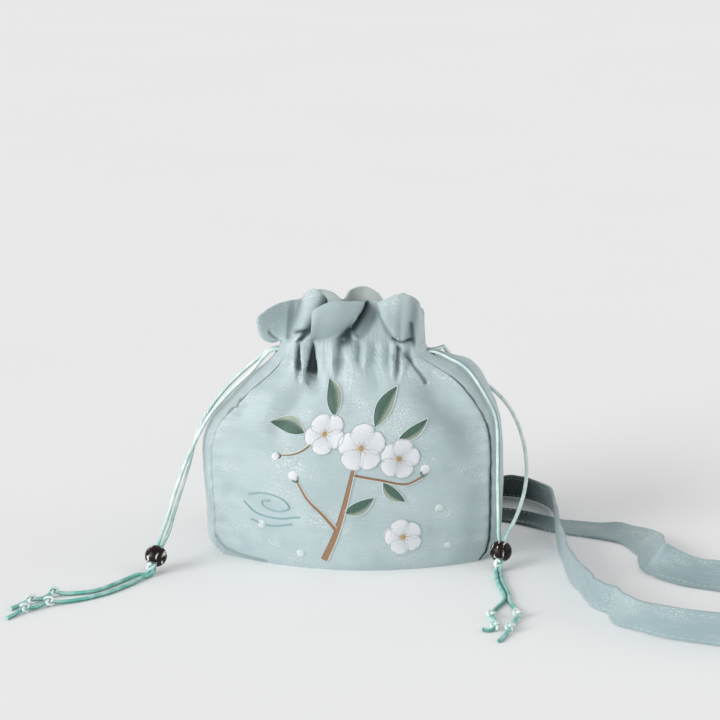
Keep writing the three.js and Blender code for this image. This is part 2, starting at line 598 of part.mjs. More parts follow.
// Flat strap along its stations, resting on its lower edge where it lies
function strapGeometry() {
  const rows = STRAP_STATIONS.map((station, i) => ({ ...station, i }));
  const last = rows.length - 1;
  const value = (name, place) => smooth(rows, "i", name, THREE.MathUtils.clamp(place, 0, last));
  const middle = (place) => {
    const lift = Math.max(value("lift", place), LYING);
    return new THREE.Vector3(value("x", place), value("y", place), lift);
  };
  const solid = new Solid();
  const loops = Array.from({ length: STRAP_STEPS + 1 }, (_, i) => {
    const place = last * i / STRAP_STEPS;
    const at = middle(place);
    const along = middle(place + STRAP_REACH).sub(middle(place - STRAP_REACH)).normalize();
    const tilt = THREE.MathUtils.degToRad(value("tilt", place));
    const heading = THREE.MathUtils.degToRad(value("heading", place));
    const edge = new THREE.Vector3(Math.cos(heading), Math.sin(heading), Math.tan(tilt)).normalize();
    edge.addScaledVector(along, -edge.dot(along)).normalize();
    const face = edge.clone().cross(along);
    at.z += (STRAP.width * Math.abs(edge.z) + STRAP.thick * Math.abs(face.z)) / 2;
    const corner = (side, up) => at.clone()
      .addScaledVector(edge, side * STRAP.width / 2)
      .addScaledVector(face, up * STRAP.thick / 2);
    return solid.row([corner(-1, -1), corner(-1, 1), corner(1, 1), corner(1, -1)]);
  });
  for (let i = 0; i < STRAP_STEPS; i += 1) {
    solid.band([...loops[i], loops[i][0]], [...loops[i + 1], loops[i + 1][0]]);
  }
  const closeEnd = ([a, b, c, d]) => solid.faces.push(a, c, b, a, d, c);
  closeEnd(loops[0]);
  closeEnd([...loops[STRAP_STEPS]].reverse());
  return solid.geometry();
}

const bag = new THREE.Group();

function piece(name, geometry, finish) {
  const mesh = new THREE.Mesh(geometry, new THREE.MeshStandardMaterial(COLOURS[finish]));
  mesh.name = name;
  bag.add(mesh);
}

piece("front_panel", panelGeometry(0, "front"), "cloth");
piece("gusset_right", gussetGeometry(1, 1), "cloth");
piece("back_panel", panelGeometry(2, "back"), "cloth");
piece("gusset_left", gussetGeometry(3, -1), "cloth");
piece("base_panel", baseGeometry(), "cloth");
piece("shoulder_strap", strapGeometry(), "strap");
for (const [name, route] of Object.entries(STRANDS)) piece(name, strandGeometry(name, route), "cord");
for (const side of Object.keys(BEADS)) {
  const { axis, point } = hole(side);
  piece(`bead_${side}`, beadGeometry(side), "bead");
  piece(`knot_${side}`, turnedTo(knotGeometry(KNOT), axis, point(KNOT_PLACE, 0)), "cord");
}
for (const [name, tail] of Object.entries(TAILS)) piece(name, tailGeometry(tail), "cord");

export default bag;
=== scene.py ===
"""Drawstring shoulder bag: gathered satin cloth, blossom embroidery, beaded cords and a cloth strap."""

import math

import bmesh
import bpy
import numpy as np
from mathutils import Matrix, Vector, noise


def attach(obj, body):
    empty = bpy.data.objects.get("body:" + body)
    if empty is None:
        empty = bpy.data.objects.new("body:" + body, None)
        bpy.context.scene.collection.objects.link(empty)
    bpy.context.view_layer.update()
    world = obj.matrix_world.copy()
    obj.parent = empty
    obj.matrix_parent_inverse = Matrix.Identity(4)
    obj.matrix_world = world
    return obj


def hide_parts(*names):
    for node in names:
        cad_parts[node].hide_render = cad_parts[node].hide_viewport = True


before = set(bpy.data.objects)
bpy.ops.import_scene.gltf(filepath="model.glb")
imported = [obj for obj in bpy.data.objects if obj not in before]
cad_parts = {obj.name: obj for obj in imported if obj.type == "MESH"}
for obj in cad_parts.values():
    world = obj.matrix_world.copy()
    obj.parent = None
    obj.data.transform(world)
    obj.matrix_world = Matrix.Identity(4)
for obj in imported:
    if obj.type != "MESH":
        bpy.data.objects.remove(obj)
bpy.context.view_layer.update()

BODY = "root"
MM = 0.001
UP = Vector((0, 0, 1))

# Driving sizes of the bag, in millimetres
CLOTH = 1.4
CORD_LINE = 150
CASING_TOP = 157
CASING_FOOT = 143.5
HEM = 193
CORD = 2.8
STRAP_WIDTH = 25
STRAP_THICK = 1.8
BEAD_RADIUS = 7.8
BEAD_HALF = 6.2
BEAD_BORE = 3.8
BEAD_RIM = 0.8
KNOT_RADIUS = 3.9
KNOT_HALF = 3.4
KNOT_CORD = 3.0
SEATED = 0.3
SLIT_WIDE = 8.4
SLIT_HIGH = 4
PANELS = 4


class Table:
    """Rows given one by one, with named columns that run smoothly between the rows."""

    def __init__(self, names, rows):
        self.columns = dict(zip(names.split(), np.array(rows, float).T))
        self.places = self.columns[names.split()[0]]

    def at(self, name, place):
        keys = self.places
        values = self.columns[name]
        place = np.clip(np.asarray(place, float), keys[0], keys[-1])
        row = np.clip(np.searchsorted(keys, place, side="left") - 1, 0, len(keys) - 2)
        before = np.r_[0, np.arange(len(keys) - 1)]
        after = np.r_[np.arange(1, len(keys)), len(keys) - 1]
        slope = (values[after] - values[before]) / (keys[after] - keys[before])
        span = keys[row + 1] - keys[row]
        t = (place - keys[row]) / span
        rest = 1 - t
        return ((1 + 2 * t) * rest**2 * values[row] + t * rest**2 * span * slope[row]
                + t**2 * (3 - 2 * t) * values[row + 1] - t**2 * rest * span * slope[row + 1])


# Cloth section at each height: half width and half depth at the seams, the bulges past them, the lean of the
# right back seam, and how far the lower left shoulder stays in
SECTIONS = Table("h width depth front back side lean left", [
    (0, 92, 16, 25, 23, 4, 0, 0),
    (5, 96, 17, 27, 24, 6, 0, 0),
    (14, 98.5, 18, 28, 25, 7, 0, 0),
    (45, 99, 20, 28, 25, 8, 0, 0),
    (80, 99, 23, 23, 22, 8, 0, 0),
    (101, 97, 25, 18, 17, 6, 3, 4),
    (113, 92, 26, 14, 14, 4, 6, 8.5),
    (124, 84, 24.5, 11, 11, 4, 7.5, 11),
    (135, 73.5, 21, 9, 9, 5, 8.5, 13.5),
    (143, 61.5, 17, 7.5, 7, 6, 9, 9.5),
    (150, 47.5, 12.5, 6.5, 6, 6, 1.5, 1),
    (158, 45, 11.5, 6, 5.5, 6, 0, 0),
    (193, 46, 14, 8, 7, 7, 0, 0),
])
ARCH = 6
ARCH_FOOT = 118

# The right side's shoulder stands up, highest a little behind its middle
HUMP = 7
HUMP_AT = 1.6
HUMP_FRONT = 0.42
HUMP_BACK = 0.3
HUMP_RISES = (112, 132)
HUMP_FALLS = (134, 150)

# Hem of the frill, fold by fold, over its place round the casing: front, right side, back, left side
HEM_FOLDS = [
    (0, -46, 6.5, 182.5),
    (0.02, -40, 8, 183.5),
    (0.035, -35.5, -3, 187.5),
    (0.05, -31.5, -13, 193.5),
    (0.067, -26.3, -19, 198.5),
    (0.085, -20.5, -22.5, 197),
    (0.102, -15.8, -20.5, 191.5),
    (0.12, -15.2, -15, 187),
    (0.138, -12.5, -21, 187),
    (0.157, -18, -28.5, 186),
    (0.178, -26, -33, 185),
    (0.2, -21, -38.5, 190.5),
    (0.225, -13, -41, 194.5),
    (0.25, -5, -39.8, 195),
    (0.28, 1.5, -34.5, 193.5),
    (0.315, 7, -26, 191.8),
    (0.36, 8.8, -15, 188),
    (0.42, 8.8, -4, 186),
    (0.49, 10.5, 2.5, 185.5),
    (0.57, 13.5, -4.5, 187),
    (0.65, 17, -13.5, 188.5),
    (0.72, 21, -21.5, 191),
    (0.79, 27.5, -26, 195.5),
    (0.86, 35, -26.5, 197.3),
    (0.93, 42, -24, 195.8),
    (1, 46.8, -18.5, 191),
    (1.2, 48.3, -10.5, 182),
    (1.5, 50, -2, 175),
    (1.75, 49, 8, 178),
    (2, 42, 15, 182),
    (2.09, 35, 23, 186),
    (2.16, 28, 20, 184),
    (2.24, 22, 14, 182),
    (2.34, 16, 23, 186),
    (2.44, 6, 28.5, 189),
    (2.54, -4, 25, 187),
    (2.64, -8, 14.5, 183),
    (2.75, -16, 22, 186),
    (2.84, -25, 26, 187),
    (2.92, -33, 22, 185),
    (3, -39, 16.5, 182),
    (3.2, -50, 14, 178),
    (3.4, -61, 5, 173.5),
    (3.55, -67.5, -5, 171.5),
    (3.66, -66, -10, 174.5),
    (3.78, -60, -5.5, 178.8),
    (3.9, -52.5, 1.5, 181.5),
]
HEM_LOOP = Table("at x y z", [
    (at + turn, x, y, z)
    for turn in (-PANELS, 0, PANELS)
    for at, x, y, z in HEM_FOLDS
])

# Gathers below the casing, which run straight down: ridges go out and grooves in, each down to its foot
GATHERS = Table("at out foot", [
    (0, 0, 140),
    (0.05, 0.4, 138),
    (0.088, 1.2, 136),
    (0.114, -4.5, 131),
    (0.13, 1.5, 129),
    (0.155, 5, 128),
    (0.18, 4, 128),
    (0.199, 0.6, 128),
    (0.214, -5.2, 128),
    (0.232, -1.6, 130),
    (0.26, 0.4, 134),
    (0.33, 1, 137),
    (0.375, 2.4, 134),
    (0.416, -2.8, 132),
    (0.46, 0.6, 138),
    (0.52, 1.4, 140),
    (0.56, -2.2, 138),
    (0.61, 1.8, 137),
    (0.67, -1.4, 138),
    (0.73, 0.8, 138),
    (0.78, -1, 137),
    (0.812, 2.4, 133),
    (0.842, -4, 131),
    (0.88, 1.6, 133),
    (0.92, -1.8, 136),
    (0.96, 0, 138),
    (1, 0, 140),
])

# Gathers are full part of the way up from their foot, and most of them is let go at the top of the casing
GATHERED = 0.6
RELEASE = 0.75

# The frill flares from its foot at once at the left folds, and slowly elsewhere
FLARE_REACH = 0.36
FLARE_LEAST = 0.45

# The left fold of the frill droops out over the cords
DROOP = 8
DROOP_AT = -0.45
DROOP_REACH = 0.22

# Gathers of the back, which lie flat where the strap is sewn on
BACK_GATHERS = Table("at out foot", [
    (0, 0, 140),
    (0.08, 0, 140),
    (0.13, -2.4, 134),
    (0.19, 2.2, 133),
    (0.24, -1.2, 134),
    (0.29, -3, 131),
    (0.34, 2.4, 132),
    (0.39, -2, 133),
    (0.45, 2.6, 132),
    (0.5, -3, 130),
    (0.55, 1.4, 134),
    (0.61, -2.4, 131),
    (0.66, 2.6, 132),
    (0.71, -3, 131),
    (0.77, 1.8, 133),
    (0.83, -2.6, 132),
    (0.88, 1, 135),
    (0.93, 0, 140),
    (1, 0, 140),
])

# Each bead: its middle and the way its hole runs, down to the knot
BEADS = {
    "left": ((-135, -52, 11.5), (-0.25, -0.66, -0.71)),
    "right": ((106.5, -29, 12.5), (-0.1, -0.62, -0.78)),
}

# Cords from the slits over the shoulders to the beads
STRANDS = {
    "left_front": [
        (-50, -2.2, 150), (-57, -2.5, 149.5), (-62, -3, 145.4), (-67.6, -3.6, 138.6), (-74, -4.2, 131.4),
        (-82, -5.2, 124), (-91, -6.6, 114.6), (-99.6, -9, 104.4), (-106.5, -12.6, 93.4),
        (-112, -16.8, 82.5), (-117.2, -21.6, 71), (-121.8, -27, 58), (-125.6, -32.4, 45.5),
        (-129, -37.8, 33.5), (-132.6, -42, 23.8),
    ],
    "left_back": [
        (-50, 2.2, 150), (-57, 2.4, 149.4), (-62.5, 2.6, 146), (-69, 2.4, 140.5), (-76.5, 1.9, 134),
        (-84.5, 1, 126.5), (-93.5, -0.4, 116.6), (-101.5, -2.6, 105.8), (-108, -6.2, 94),
        (-112.4, -11.2, 82), (-115.2, -16.4, 69.4), (-118.8, -21.6, 57), (-122.2, -27, 45),
        (-125.4, -32.6, 34), (-127.8, -37.8, 24.5),
    ],
    "right_front": [
        (50, -2.2, 150), (56, -2.7, 150.6), (61.2, -4.8, 150), (69.5, -8.2, 147), (75.8, -9.8, 144.2),
        (81, -11.4, 140.5), (85.7, -12.8, 135.2), (90.7, -14, 127.8), (95.3, -15.1, 120.1),
        (98.7, -16.2, 114.2), (101.1, -18.4, 108.2), (102.3, -20.2, 102.6), (103, -21.6, 92),
        (103.3, -22.4, 80), (103.5, -23, 68), (103.8, -23.4, 56), (104.2, -23.6, 44.5),
        (104.6, -23.5, 33), (104.8, -23.4, 24),
    ],
    "right_back": [
        (50, 2.2, 150), (56.2, 2.1, 150.7), (60.2, 4.2, 151), (62.4, 9.2, 150.6), (63.7, 15, 149.2),
        (65, 20.4, 145.6), (68.2, 25, 140), (72.4, 27.6, 135), (78, 28.8, 130), (84, 29.3, 125),
        (91.4, 29, 119.6), (99.6, 27.6, 113.7), (107.4, 24, 106.8), (114.4, 20.4, 97),
        (119.2, 17.6, 86), (122.4, 13, 74.5), (123.8, 7.5, 62.5), (123, 1, 51), (120, -7, 40),
        (115.4, -15, 30), (110.4, -20.6, 22),
    ],
}

# Cord ends on the floor, from the knot on, each named for the strand that it carries on
TAILS = {
    "left_front": ("tail_left_upper", 1, [
        (-147, -65, 2.1), (-153, -72, 1.6), (-160, -82, 1.6), (-166, -90, 1.6), (-173, -96, 1.6),
        (-182, -99.5, 1.6), (-190, -101.5, 1.9), (-197, -103, 3), (-203, -111, 1.9), (-210, -117, 3),
        (-216, -123, 1.7), (-221, -130, 1.6),
    ]),
    "left_back": ("tail_left_lower", -1, [
        (-142.5, -70, 2.1), (-147, -78, 1.6), (-153, -87, 1.6), (-160, -96, 1.6), (-169, -104.5, 1.6),
        (-179, -111.5, 1.6), (-188, -116, 1.9), (-197, -120, 3), (-205, -127, 1.9), (-211, -132, 3),
        (-216, -139, 1.7), (-220, -146, 1.6),
    ]),
    "right_front": ("tail_right_inner", 1, [
        (103.8, -50, 2.1), (105, -61, 1.6), (107.2, -72, 1.6), (109.2, -83, 1.6), (109.2, -93, 1.6),
        (105.4, -103.5, 1.6), (102, -113, 1.9), (100.8, -122, 3), (103.6, -131, 1.9), (104, -140, 3),
        (100, -144, 1.7), (95.5, -142.5, 1.6),
    ]),
    "right_back": ("tail_right_outer", -1, [
        (107, -50, 2.1), (108.3, -61, 1.6), (110.5, -72, 1.6), (112.5, -83, 1.6), (113, -93, 1.6),
        (115.8, -103, 1.6), (118, -111, 1.9), (118.4, -119, 3), (116, -130.5, 1.9), (113.6, -142, 3),
        (110, -152, 1.7), (106.5, -161, 1.6),
    ]),
}
TAIL_KNOTS = (7, 9)

# Middle line of the strap from its right end to its left end: lift above the floor, and the way its inner
# edge points, round and up
STRAP_LINE = Table("station x y lift heading tilt", [
    (0, 55, 32.45, 127, -9, 0),
    (1, 55.4, 36.65, 116, -9.5, 0),
    (2, 56, 38.45, 102, -10.5, 0),
    (3, 57, 40.5, 78, -9, 0),
    (4, 58, 44.5, 52, 0, 0),
    (5, 60, 53, 32, -6, 0),
    (6, 67, 68, 17, -22, 4),
    (7, 78, 90, 7, -32, 14),
    (8, 91, 107, 2, -50, 32),
    (9, 106, 114, 0, -82, 54),
    (10, 123.5, 110, 0, -118, 59),
    (11, 136.8, 95.5, 0, -150, 62),
    (12, 143.4, 75, 2.5, -170, 72),
    (13, 145.8, 50, 4.5, -175, 82),
    (14, 147.2, 16, 1.2, -175, 86),
    (15, 151, -22, 0, -170, 86),
    (16, 154, -49, 0, -163, 85),
    (17, 161, -76, 0, -152, 84),
    (18, 171.5, -103, 0, -143, 83),
    (19, 185.5, -127.5, 0, -132, 82),
    (20, 210.5, -147, 0, -115, 81),
    (21, 250, -159, 0, -105, 81),
    (22, 290, -160, 0, -90, 84),
    (23, 322, -146, 0, -40, 87),
    (24, 335, -115, 0, 10, 87),
    (25, 323, -80, 0, 50, 82),
    (26, 292, -61.5, 0, 80, 50),
    (27, 260, -54.1, 0, 69, 34),
    (28, 233.1, -43.9, 0, 56, 36),
    (29, 214, -27, 0, 26, 56),
    (30, 212, 8, 0, 12, 30),
    (31, 203.5, 30, 0, 42, 14),
    (32, 184.5, 42.5, 0, 70, 7),
    (33, 151, 54.8, 0, 70, 1),
    (34, 124, 70.5, 0, 62, 0),
    (35, 103, 77, 0, 76, 2),
    (36, 70, 78, 0, 87, 4),
    (37, 20, 73, 0, 90, 4),
    (38, -24, 68, 2, 90, 2),
    (39, -46, 64, 16, 88, 0),
    (40, -55, 59, 38, 78, 0),
    (41, -57, 52, 60, 42, 0),
    (42, -57, 43.2, 82, 13, 0),
    (43, -56, 37.1, 102, 12, 0),
    (44, -55.4, 33.75, 116, 12, 0),
    (45, -55, 28.85, 127, 13, 0),
])


def metres(point):
    """A point given in millimetres."""
    return Vector(point) * MM


def add_piece(piece, finish, slot, *nodes):
    """Gives a finished piece its finish, and lets it ride and stand for its solids."""
    piece.data.materials.append(finish)
    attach(piece, BODY)
    if nodes:
        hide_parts(*nodes)
    return piece


def mesh_piece(name, bm, smooth=True):
    """Turns a finished bmesh into an object."""
    mesh = bpy.data.meshes.new(name)
    for face in bm.faces:
        face.smooth = smooth
    for edge in bm.edges:
        edge.smooth = not edge.is_boundary
    bm.to_mesh(mesh)
    bm.free()
    piece = bpy.data.objects.new(name, mesh)
    bpy.context.scene.collection.objects.link(piece)
    return piece


# Finishes


def tone(red, green, blue):
    """Colour of paint or cloth as it looks on a screen, from 0 to 255, for a shader."""
    def linear(value):
        share = value / 255
        return share / 12.92 if share <= 0.04045 else ((share + 0.055) / 1.055) ** 2.4
    return (linear(red), linear(green), linear(blue), 1)


class Finish:
    """A material, with short ways to add nodes to it."""

    def __init__(self, name, **sockets):
        self.material = bpy.data.materials.new(name)
        self.material.use_nodes = True
        self.tree = self.material.node_tree
        self.shader = self.tree.nodes["Principled BSDF"]
        self.set(self.shader, sockets)

    def set(self, node, sockets):
        for name, value in sockets.items():
            socket = node.inputs[int(name[1:])] if name[0] == "_" else node.inputs[name.replace("_", " ")]
            if isinstance(value, bpy.types.NodeSocket):
                self.tree.links.new(value, socket)
            else:
                socket.default_value = value

    def node(self, kind, sockets=None, **settings):
        made = self.tree.nodes.new("ShaderNode" + kind)
        for name, value in settings.items():
            setattr(made, name, value)
        self.set(made, sockets or {})
        return made

    def place(self, scale=(1, 1, 1), source="UV", turn=0):
        """Coordinates of the surface, stretched and turned."""
        start = self.node("TexCoord").outputs[source]
        sockets = {"Vector": start, "Scale": scale, "Rotation": (0, 0, turn)}
        return self.node("Mapping", sockets).outputs["Vector"]

    def noise(self, vector, scale, detail):
        sockets = {"Vector": vector, "Scale": scale, "Detail": detail}
        return self.node("TexNoise", sockets).outputs["Fac"]

    def threads(self, vector, scale, distortion=0.0):
        """Rows of threads side by side along the first coordinate."""
        sockets = {"Vector": vector, "Scale": scale, "Distortion": distortion}
        return self.node("TexWave", sockets, bands_direction="X").outputs["Fac"]

    def between(self, value, low, high, out_low=0.0, out_high=1.0):
        sockets = {"Value": value, "From_Min": low, "From_Max": high, "To_Min": out_low, "To_Max": out_high}
        return self.node("MapRange", sockets, clamp=True).outputs["Result"]

    def math(self, operation, first, second=0.0):
        return self.node("Math", {"_0": first, "_1": second}, operation=operation).outputs["Value"]

    def mix(self, share, first, second):
        sockets = {"_0": share, "_6": first, "_7": second}
        return self.node("Mix", sockets, data_type="RGBA").outputs[2]

    def bump(self, height, strength, distance, under=None):
        sockets = {"Height": height, "Strength": strength, "Distance": distance}
        if under is not None:
            sockets["Normal"] = under
        return self.node("Bump", sockets).outputs["Normal"]

    def finish(self, **sockets):
        self.set(self.shader, sockets)
        return self.material


def satin_cloth(name, light, dark, shaded, glitter, bare):
    """Fine satin weave with slubs and patches of pale glitter, and painted shade in its grooves, seam lines
    and under its folds.
    """
    made = Finish(name, Specular_IOR_Level=0.6, Sheen_Roughness=0.45)
    cloth = made.place()
    broad = made.between(made.noise(cloth, 16, 3), 0.32, 0.68)
    slub = made.noise(made.place((60, 1500, 1)), 1, 2)
    colour = made.mix(broad, dark, light)
    colour = made.mix(made.between(slub, 0.52, 0.72, 0, 0.2), colour, tone(224, 234, 234))
    flecks = made.node("TexVoronoi", {"Vector": made.place((1500, 2300, 1)), "Scale": 1.0}).outputs["Color"]
    fleck = made.node("SeparateColor", {"Color": flecks}).outputs["Red"]
    patches = made.between(made.noise(made.place((22, 40, 1)), 1, 3), bare, bare + 0.17)
    spark = made.math("MULTIPLY", made.between(fleck, 0.76, 0.84), made.math("MULTIPLY", patches, glitter))
    colour = made.mix(spark, colour, tone(246, 248, 247))
    # Painted shade: the colour turns towards the shaded tone by the attribute that marks grooves, seams and
    # folds, and the sheen fades there
    painted_shade = made.node("Attribute", attribute_name="painted_shade").outputs["Fac"]
    colour = made.mix(painted_shade, colour, shaded)
    sheen = made.between(painted_shade, 0, 1, 0.25, 0)
    warp = made.threads(cloth, 900)
    weft = made.threads(made.place(turn=math.pi / 2), 700)
    weave = made.math("ADD", warp, weft)
    bumped = made.bump(weave, 0.12, 0.0001)
    bumped = made.bump(slub, 0.03, 0.0003, bumped)
    rough = made.between(spark, 0, 1, 0.46, 0.25)
    return made.finish(Base_Color=colour, Roughness=rough, Normal=bumped, Sheen_Weight=sheen)


def lining_cloth():
    """Plain greyer cloth on the inside."""
    made = Finish("lining cloth", Specular_IOR_Level=0.3, Sheen_Weight=0.15)
    cloth = made.place()
    colour = made.mix(made.noise(cloth, 60, 3), tone(176, 188, 186), tone(192, 202, 199))
    weave = made.threads(cloth, 800)
    return made.finish(Base_Color=colour, Roughness=0.62, Normal=made.bump(weave, 0.12, 0.0001))


# Where round a cord its painted lit side lies, as a share of a whole turn
LIT_LEFT = 0.0
LIT_RIGHT = 0.5


def satin_cord(name, low_dark, low_light, lit_left):
    """Glossy woven cord with a painted lit side and painted shade on the other, pale as it hangs and of its
    own tone near the floor.
    """
    made = Finish(name, Specular_IOR_Level=0.6, Sheen_Weight=0.3, Sheen_Roughness=0.35)
    along = made.place(source="Object")
    uneven = made.between(made.noise(along, 120, 2), 0.35, 0.65)
    hanging = made.mix(uneven, tone(204, 228, 224), tone(246, 251, 250))
    lying = made.mix(uneven, low_dark, low_light)
    spot = made.node("SeparateXYZ", {"Vector": along}).outputs
    colour = made.mix(made.between(spot["Z"], 0.006, 0.045), lying, hanging)
    # Painted light and shade round the cord: pale on the side set to face the light, deep teal on the other
    around = made.node("SeparateXYZ", {"Vector": made.place()}).outputs["Y"]
    lit = made.between(spot["X"], 0, MM, lit_left, LIT_RIGHT)
    turn = made.math("MULTIPLY", made.math("SUBTRACT", around, lit), 2 * math.pi)
    sheen = made.math("COSINE", turn)
    colour = made.mix(made.between(sheen, -0.3, 0.52, 0.85, 0), colour, tone(40, 134, 122))
    plait = made.threads(made.place((1, 1, 0.5), "Object", turn=0.7), 330, 1.0)
    colour = made.mix(made.between(plait, 0, 0.45, 0.22, 0), colour, tone(92, 164, 154))
    return made.finish(Base_Color=colour, Roughness=0.33, Normal=made.bump(plait, 0.5, 0.0003))


def embroidery_thread(name, near, far, slant):
    """Lustrous satin stitch that runs from one tone to another over a patch."""
    made = Finish(name, Specular_IOR_Level=0.6, Sheen_Weight=0.4, Sheen_Roughness=0.3)
    stitches = made.threads(made.place(turn=slant), 620, 0.6)
    shade = made.node("Attribute", attribute_name="shade").outputs["Fac"]
    uneven = made.between(made.noise(made.place((2600, 260, 1), turn=slant), 1, 2), 0.3, 0.7, -0.2, 0.2)
    colour = made.mix(made.between(made.math("ADD", shade, uneven), 0, 1), near, far)
    gaps = made.between(stitches, 0, 0.3, 0.35, 0)
    colour = made.mix(gaps, colour, near)
    return made.finish(Base_Color=colour, Roughness=0.36, Normal=made.bump(stitches, 0.5, 0.00025))


def dark_bead():
    """Polished dark wood with pale carved scratches."""
    made = Finish("dark bead", Specular_IOR_Level=0.2, Coat_Weight=0.06, Coat_Roughness=0.2)
    place = made.place(source="Object")
    grain = made.noise(made.place((90, 90, 700), "Object"), 1, 3)
    colour = made.mix(grain, tone(12, 7, 7), tone(34, 22, 20))
    scratch = made.threads(made.place((1, 0.4, 1), "Object", turn=0.5), 75, 9)
    marks = made.between(scratch, 0.84, 0.94, 0, 0.95)
    patch = made.between(made.noise(place, 190, 2), 0.46, 0.54)
    marks = made.math("MULTIPLY", marks, patch)
    colour = made.mix(marks, colour, tone(226, 222, 216))
    return made.finish(Base_Color=colour, Roughness=0.32)


# Camera


CAMERA_PLACE = (104.6, -1438.4, 556.0)
CAMERA_TARGET = (5.0, 0, 142.5)
CAMERA_LENS = 106.5


def camera():
    """The eye of the main view."""
    data = bpy.data.cameras.new("camera")
    data.lens = CAMERA_LENS
    data.clip_end = 50
    eye = bpy.data.objects.new("camera", data)
    eye.location = metres(CAMERA_PLACE)
    look = metres(CAMERA_TARGET) - metres(CAMERA_PLACE)
    eye.rotation_euler = look.to_track_quat("-Z", "Y").to_euler()
    bpy.context.scene.collection.objects.link(eye)
    bpy.context.scene.camera = eye


camera()


# Cords, knots and beads


CORD_FINISH = satin_cord("satin cord", tone(106, 196, 184), tone(200, 238, 232), LIT_LEFT)
# Knots take a paler copy of the cord finish, as painted highlight
KNOT_HIGHLIGHT_FINISH = satin_cord("tied satin cord", tone(206, 236, 231), tone(250, 252, 252), LIT_RIGHT)
BESIDE = CORD / 2 + 0.2
STRAND_END = BEAD_HALF - 1.2
KNOT_PLACE = STRAND_END + SEATED + KNOT_HALF
TAIL_START = KNOT_PLACE + KNOT_HALF + 1.4
TAIL_REST = CORD / 2 + 0.2
KNOT_STEPS = 24
BEAD_STEPS = 16
BEAD_TURNS = 40
BEAD_EASE = 0.4


class Hole:
    """A bead's hole: points along it, and beside its middle line."""

    def __init__(self, side):
        at, axis = BEADS[side]
        self.at = Vector(at)
        self.axis = Vector(axis).normalized()
        self.across = self.axis.cross(UP).normalized()

    def point(self, along, beside=0.0):
        return self.at + self.axis * along + self.across * beside


def tube(name, points, thickness, closed=False):
    """Round cord along points in millimetres."""
    data = bpy.data.curves.new(name, "CURVE")
    data.dimensions = "3D"
    data.bevel_depth = thickness / 2 * MM
    data.bevel_resolution = 3
    data.resolution_u = 6
    data.use_fill_caps = True
    spline = data.splines.new("BEZIER")
    spline.bezier_points.add(len(points) - 1)
    spline.use_cyclic_u = closed
    for knot, point in zip(spline.bezier_points, points):
        knot.co = metres(point)
        knot.handle_left_type = "AUTO"
        knot.handle_right_type = "AUTO"
    piece = bpy.data.objects.new(name, data)
    bpy.context.scene.collection.objects.link(piece)
    return piece


def tied_knot(name, at, axis, radius, half, thickness):
    """Overhand knot drawn tight: one closed turn of cord that passes through itself."""
    tilt = UP.rotation_difference(axis).to_matrix()
    wide = (radius - thickness / 2) / 3
    tall = max(half - thickness / 2, thickness * 0.3)
    loop = []
    for step in range(KNOT_STEPS):
        turn = 2 * math.pi * step / KNOT_STEPS
        x = math.sin(turn) + 2 * math.sin(2 * turn)
        y = math.cos(turn) - 2 * math.cos(2 * turn)
        z = -math.sin(3 * turn)
        loop.append(Vector(at) + tilt @ Vector((x * wide, y * wide, z * tall)))
    return tube(name, loop, thickness, closed=True)


def drilled_bead(side):
    """Round bead with its hole, turned from one profile."""
    hole = Hole(side)
    bm = bmesh.new()
    bow = math.acos((BEAD_BORE + BEAD_RIM) / BEAD_RADIUS)
    profile = [(BEAD_BORE, BEAD_HALF - BEAD_EASE), (BEAD_BORE, -BEAD_HALF + BEAD_EASE)]
    for step in range(BEAD_STEPS + 1):
        turn = bow * (2 * step / BEAD_STEPS - 1)
        profile.append((BEAD_RADIUS * math.cos(turn), BEAD_HALF * math.sin(turn) / math.sin(bow)))
    corners = [bm.verts.new((radius * MM, 0, height * MM)) for radius, height in profile]
    edges = [bm.edges.new((a, b)) for a, b in zip(corners, corners[1:] + corners[:1])]
    bmesh.ops.spin(bm, geom=corners + edges, cent=(0, 0, 0), axis=UP, angle=2 * math.pi,
                   steps=BEAD_TURNS, use_merge=True)
    bmesh.ops.remove_doubles(bm, verts=bm.verts, dist=1e-6)
    bmesh.ops.recalc_face_normals(bm, faces=bm.faces)
    tilt = UP.rotation_difference(-hole.axis).to_matrix().to_4x4()
    bmesh.ops.transform(bm, matrix=Matrix.Translation(metres(hole.at)) @ tilt, verts=bm.verts)
    return mesh_piece(f"bead_{side}_polished", bm)


BEAD_FINISH = dark_bead()
for side in BEADS:
    bead = add_piece(drilled_bead(side), BEAD_FINISH, "dark_bead", f"bead_{side}")
    hole = Hole(side)
    knot = tied_knot(f"knot_{side}_tied", hole.point(KNOT_PLACE), hole.axis,
                     KNOT_RADIUS, KNOT_HALF, KNOT_CORD)
    add_piece(knot, KNOT_HIGHLIGHT_FINISH, "satin_cord", f"knot_{side}")

END_KNOT_RADIUS = 3.7
END_KNOT_HALF = 3.3
END_KNOT_CORD = 2.3
END_KNOT_LIFT = 0.7
for name, strand in STRANDS.items():
    side = name.split("_")[0]
    hole = Hole(side)
    tail_node, sign, tail = TAILS[name]
    through = [hole.point(along, sign * BESIDE) for along in (-BEAD_HALF, 0, STRAND_END, TAIL_START)]
    through[-1].z = max(through[-1].z, TAIL_REST)
    route = strand + through + tail
    cord = tube(f"cord_{name}", route, CORD)
    add_piece(cord, CORD_FINISH, "satin_cord", f"drawstring_{name}", tail_node)
    for number, place in enumerate(TAIL_KNOTS):
        along = (Vector(tail[place + 1]) - Vector(tail[place - 1])).normalized()
        lifted = Vector(tail[place]) + END_KNOT_LIFT * UP
        knot = tied_knot(f"{tail_node}_knot_{number + 1}", lifted, along,
                         END_KNOT_RADIUS, END_KNOT_HALF, END_KNOT_CORD)
        add_piece(knot, KNOT_HIGHLIGHT_FINISH, "satin_cord")


# Cloth of the bag


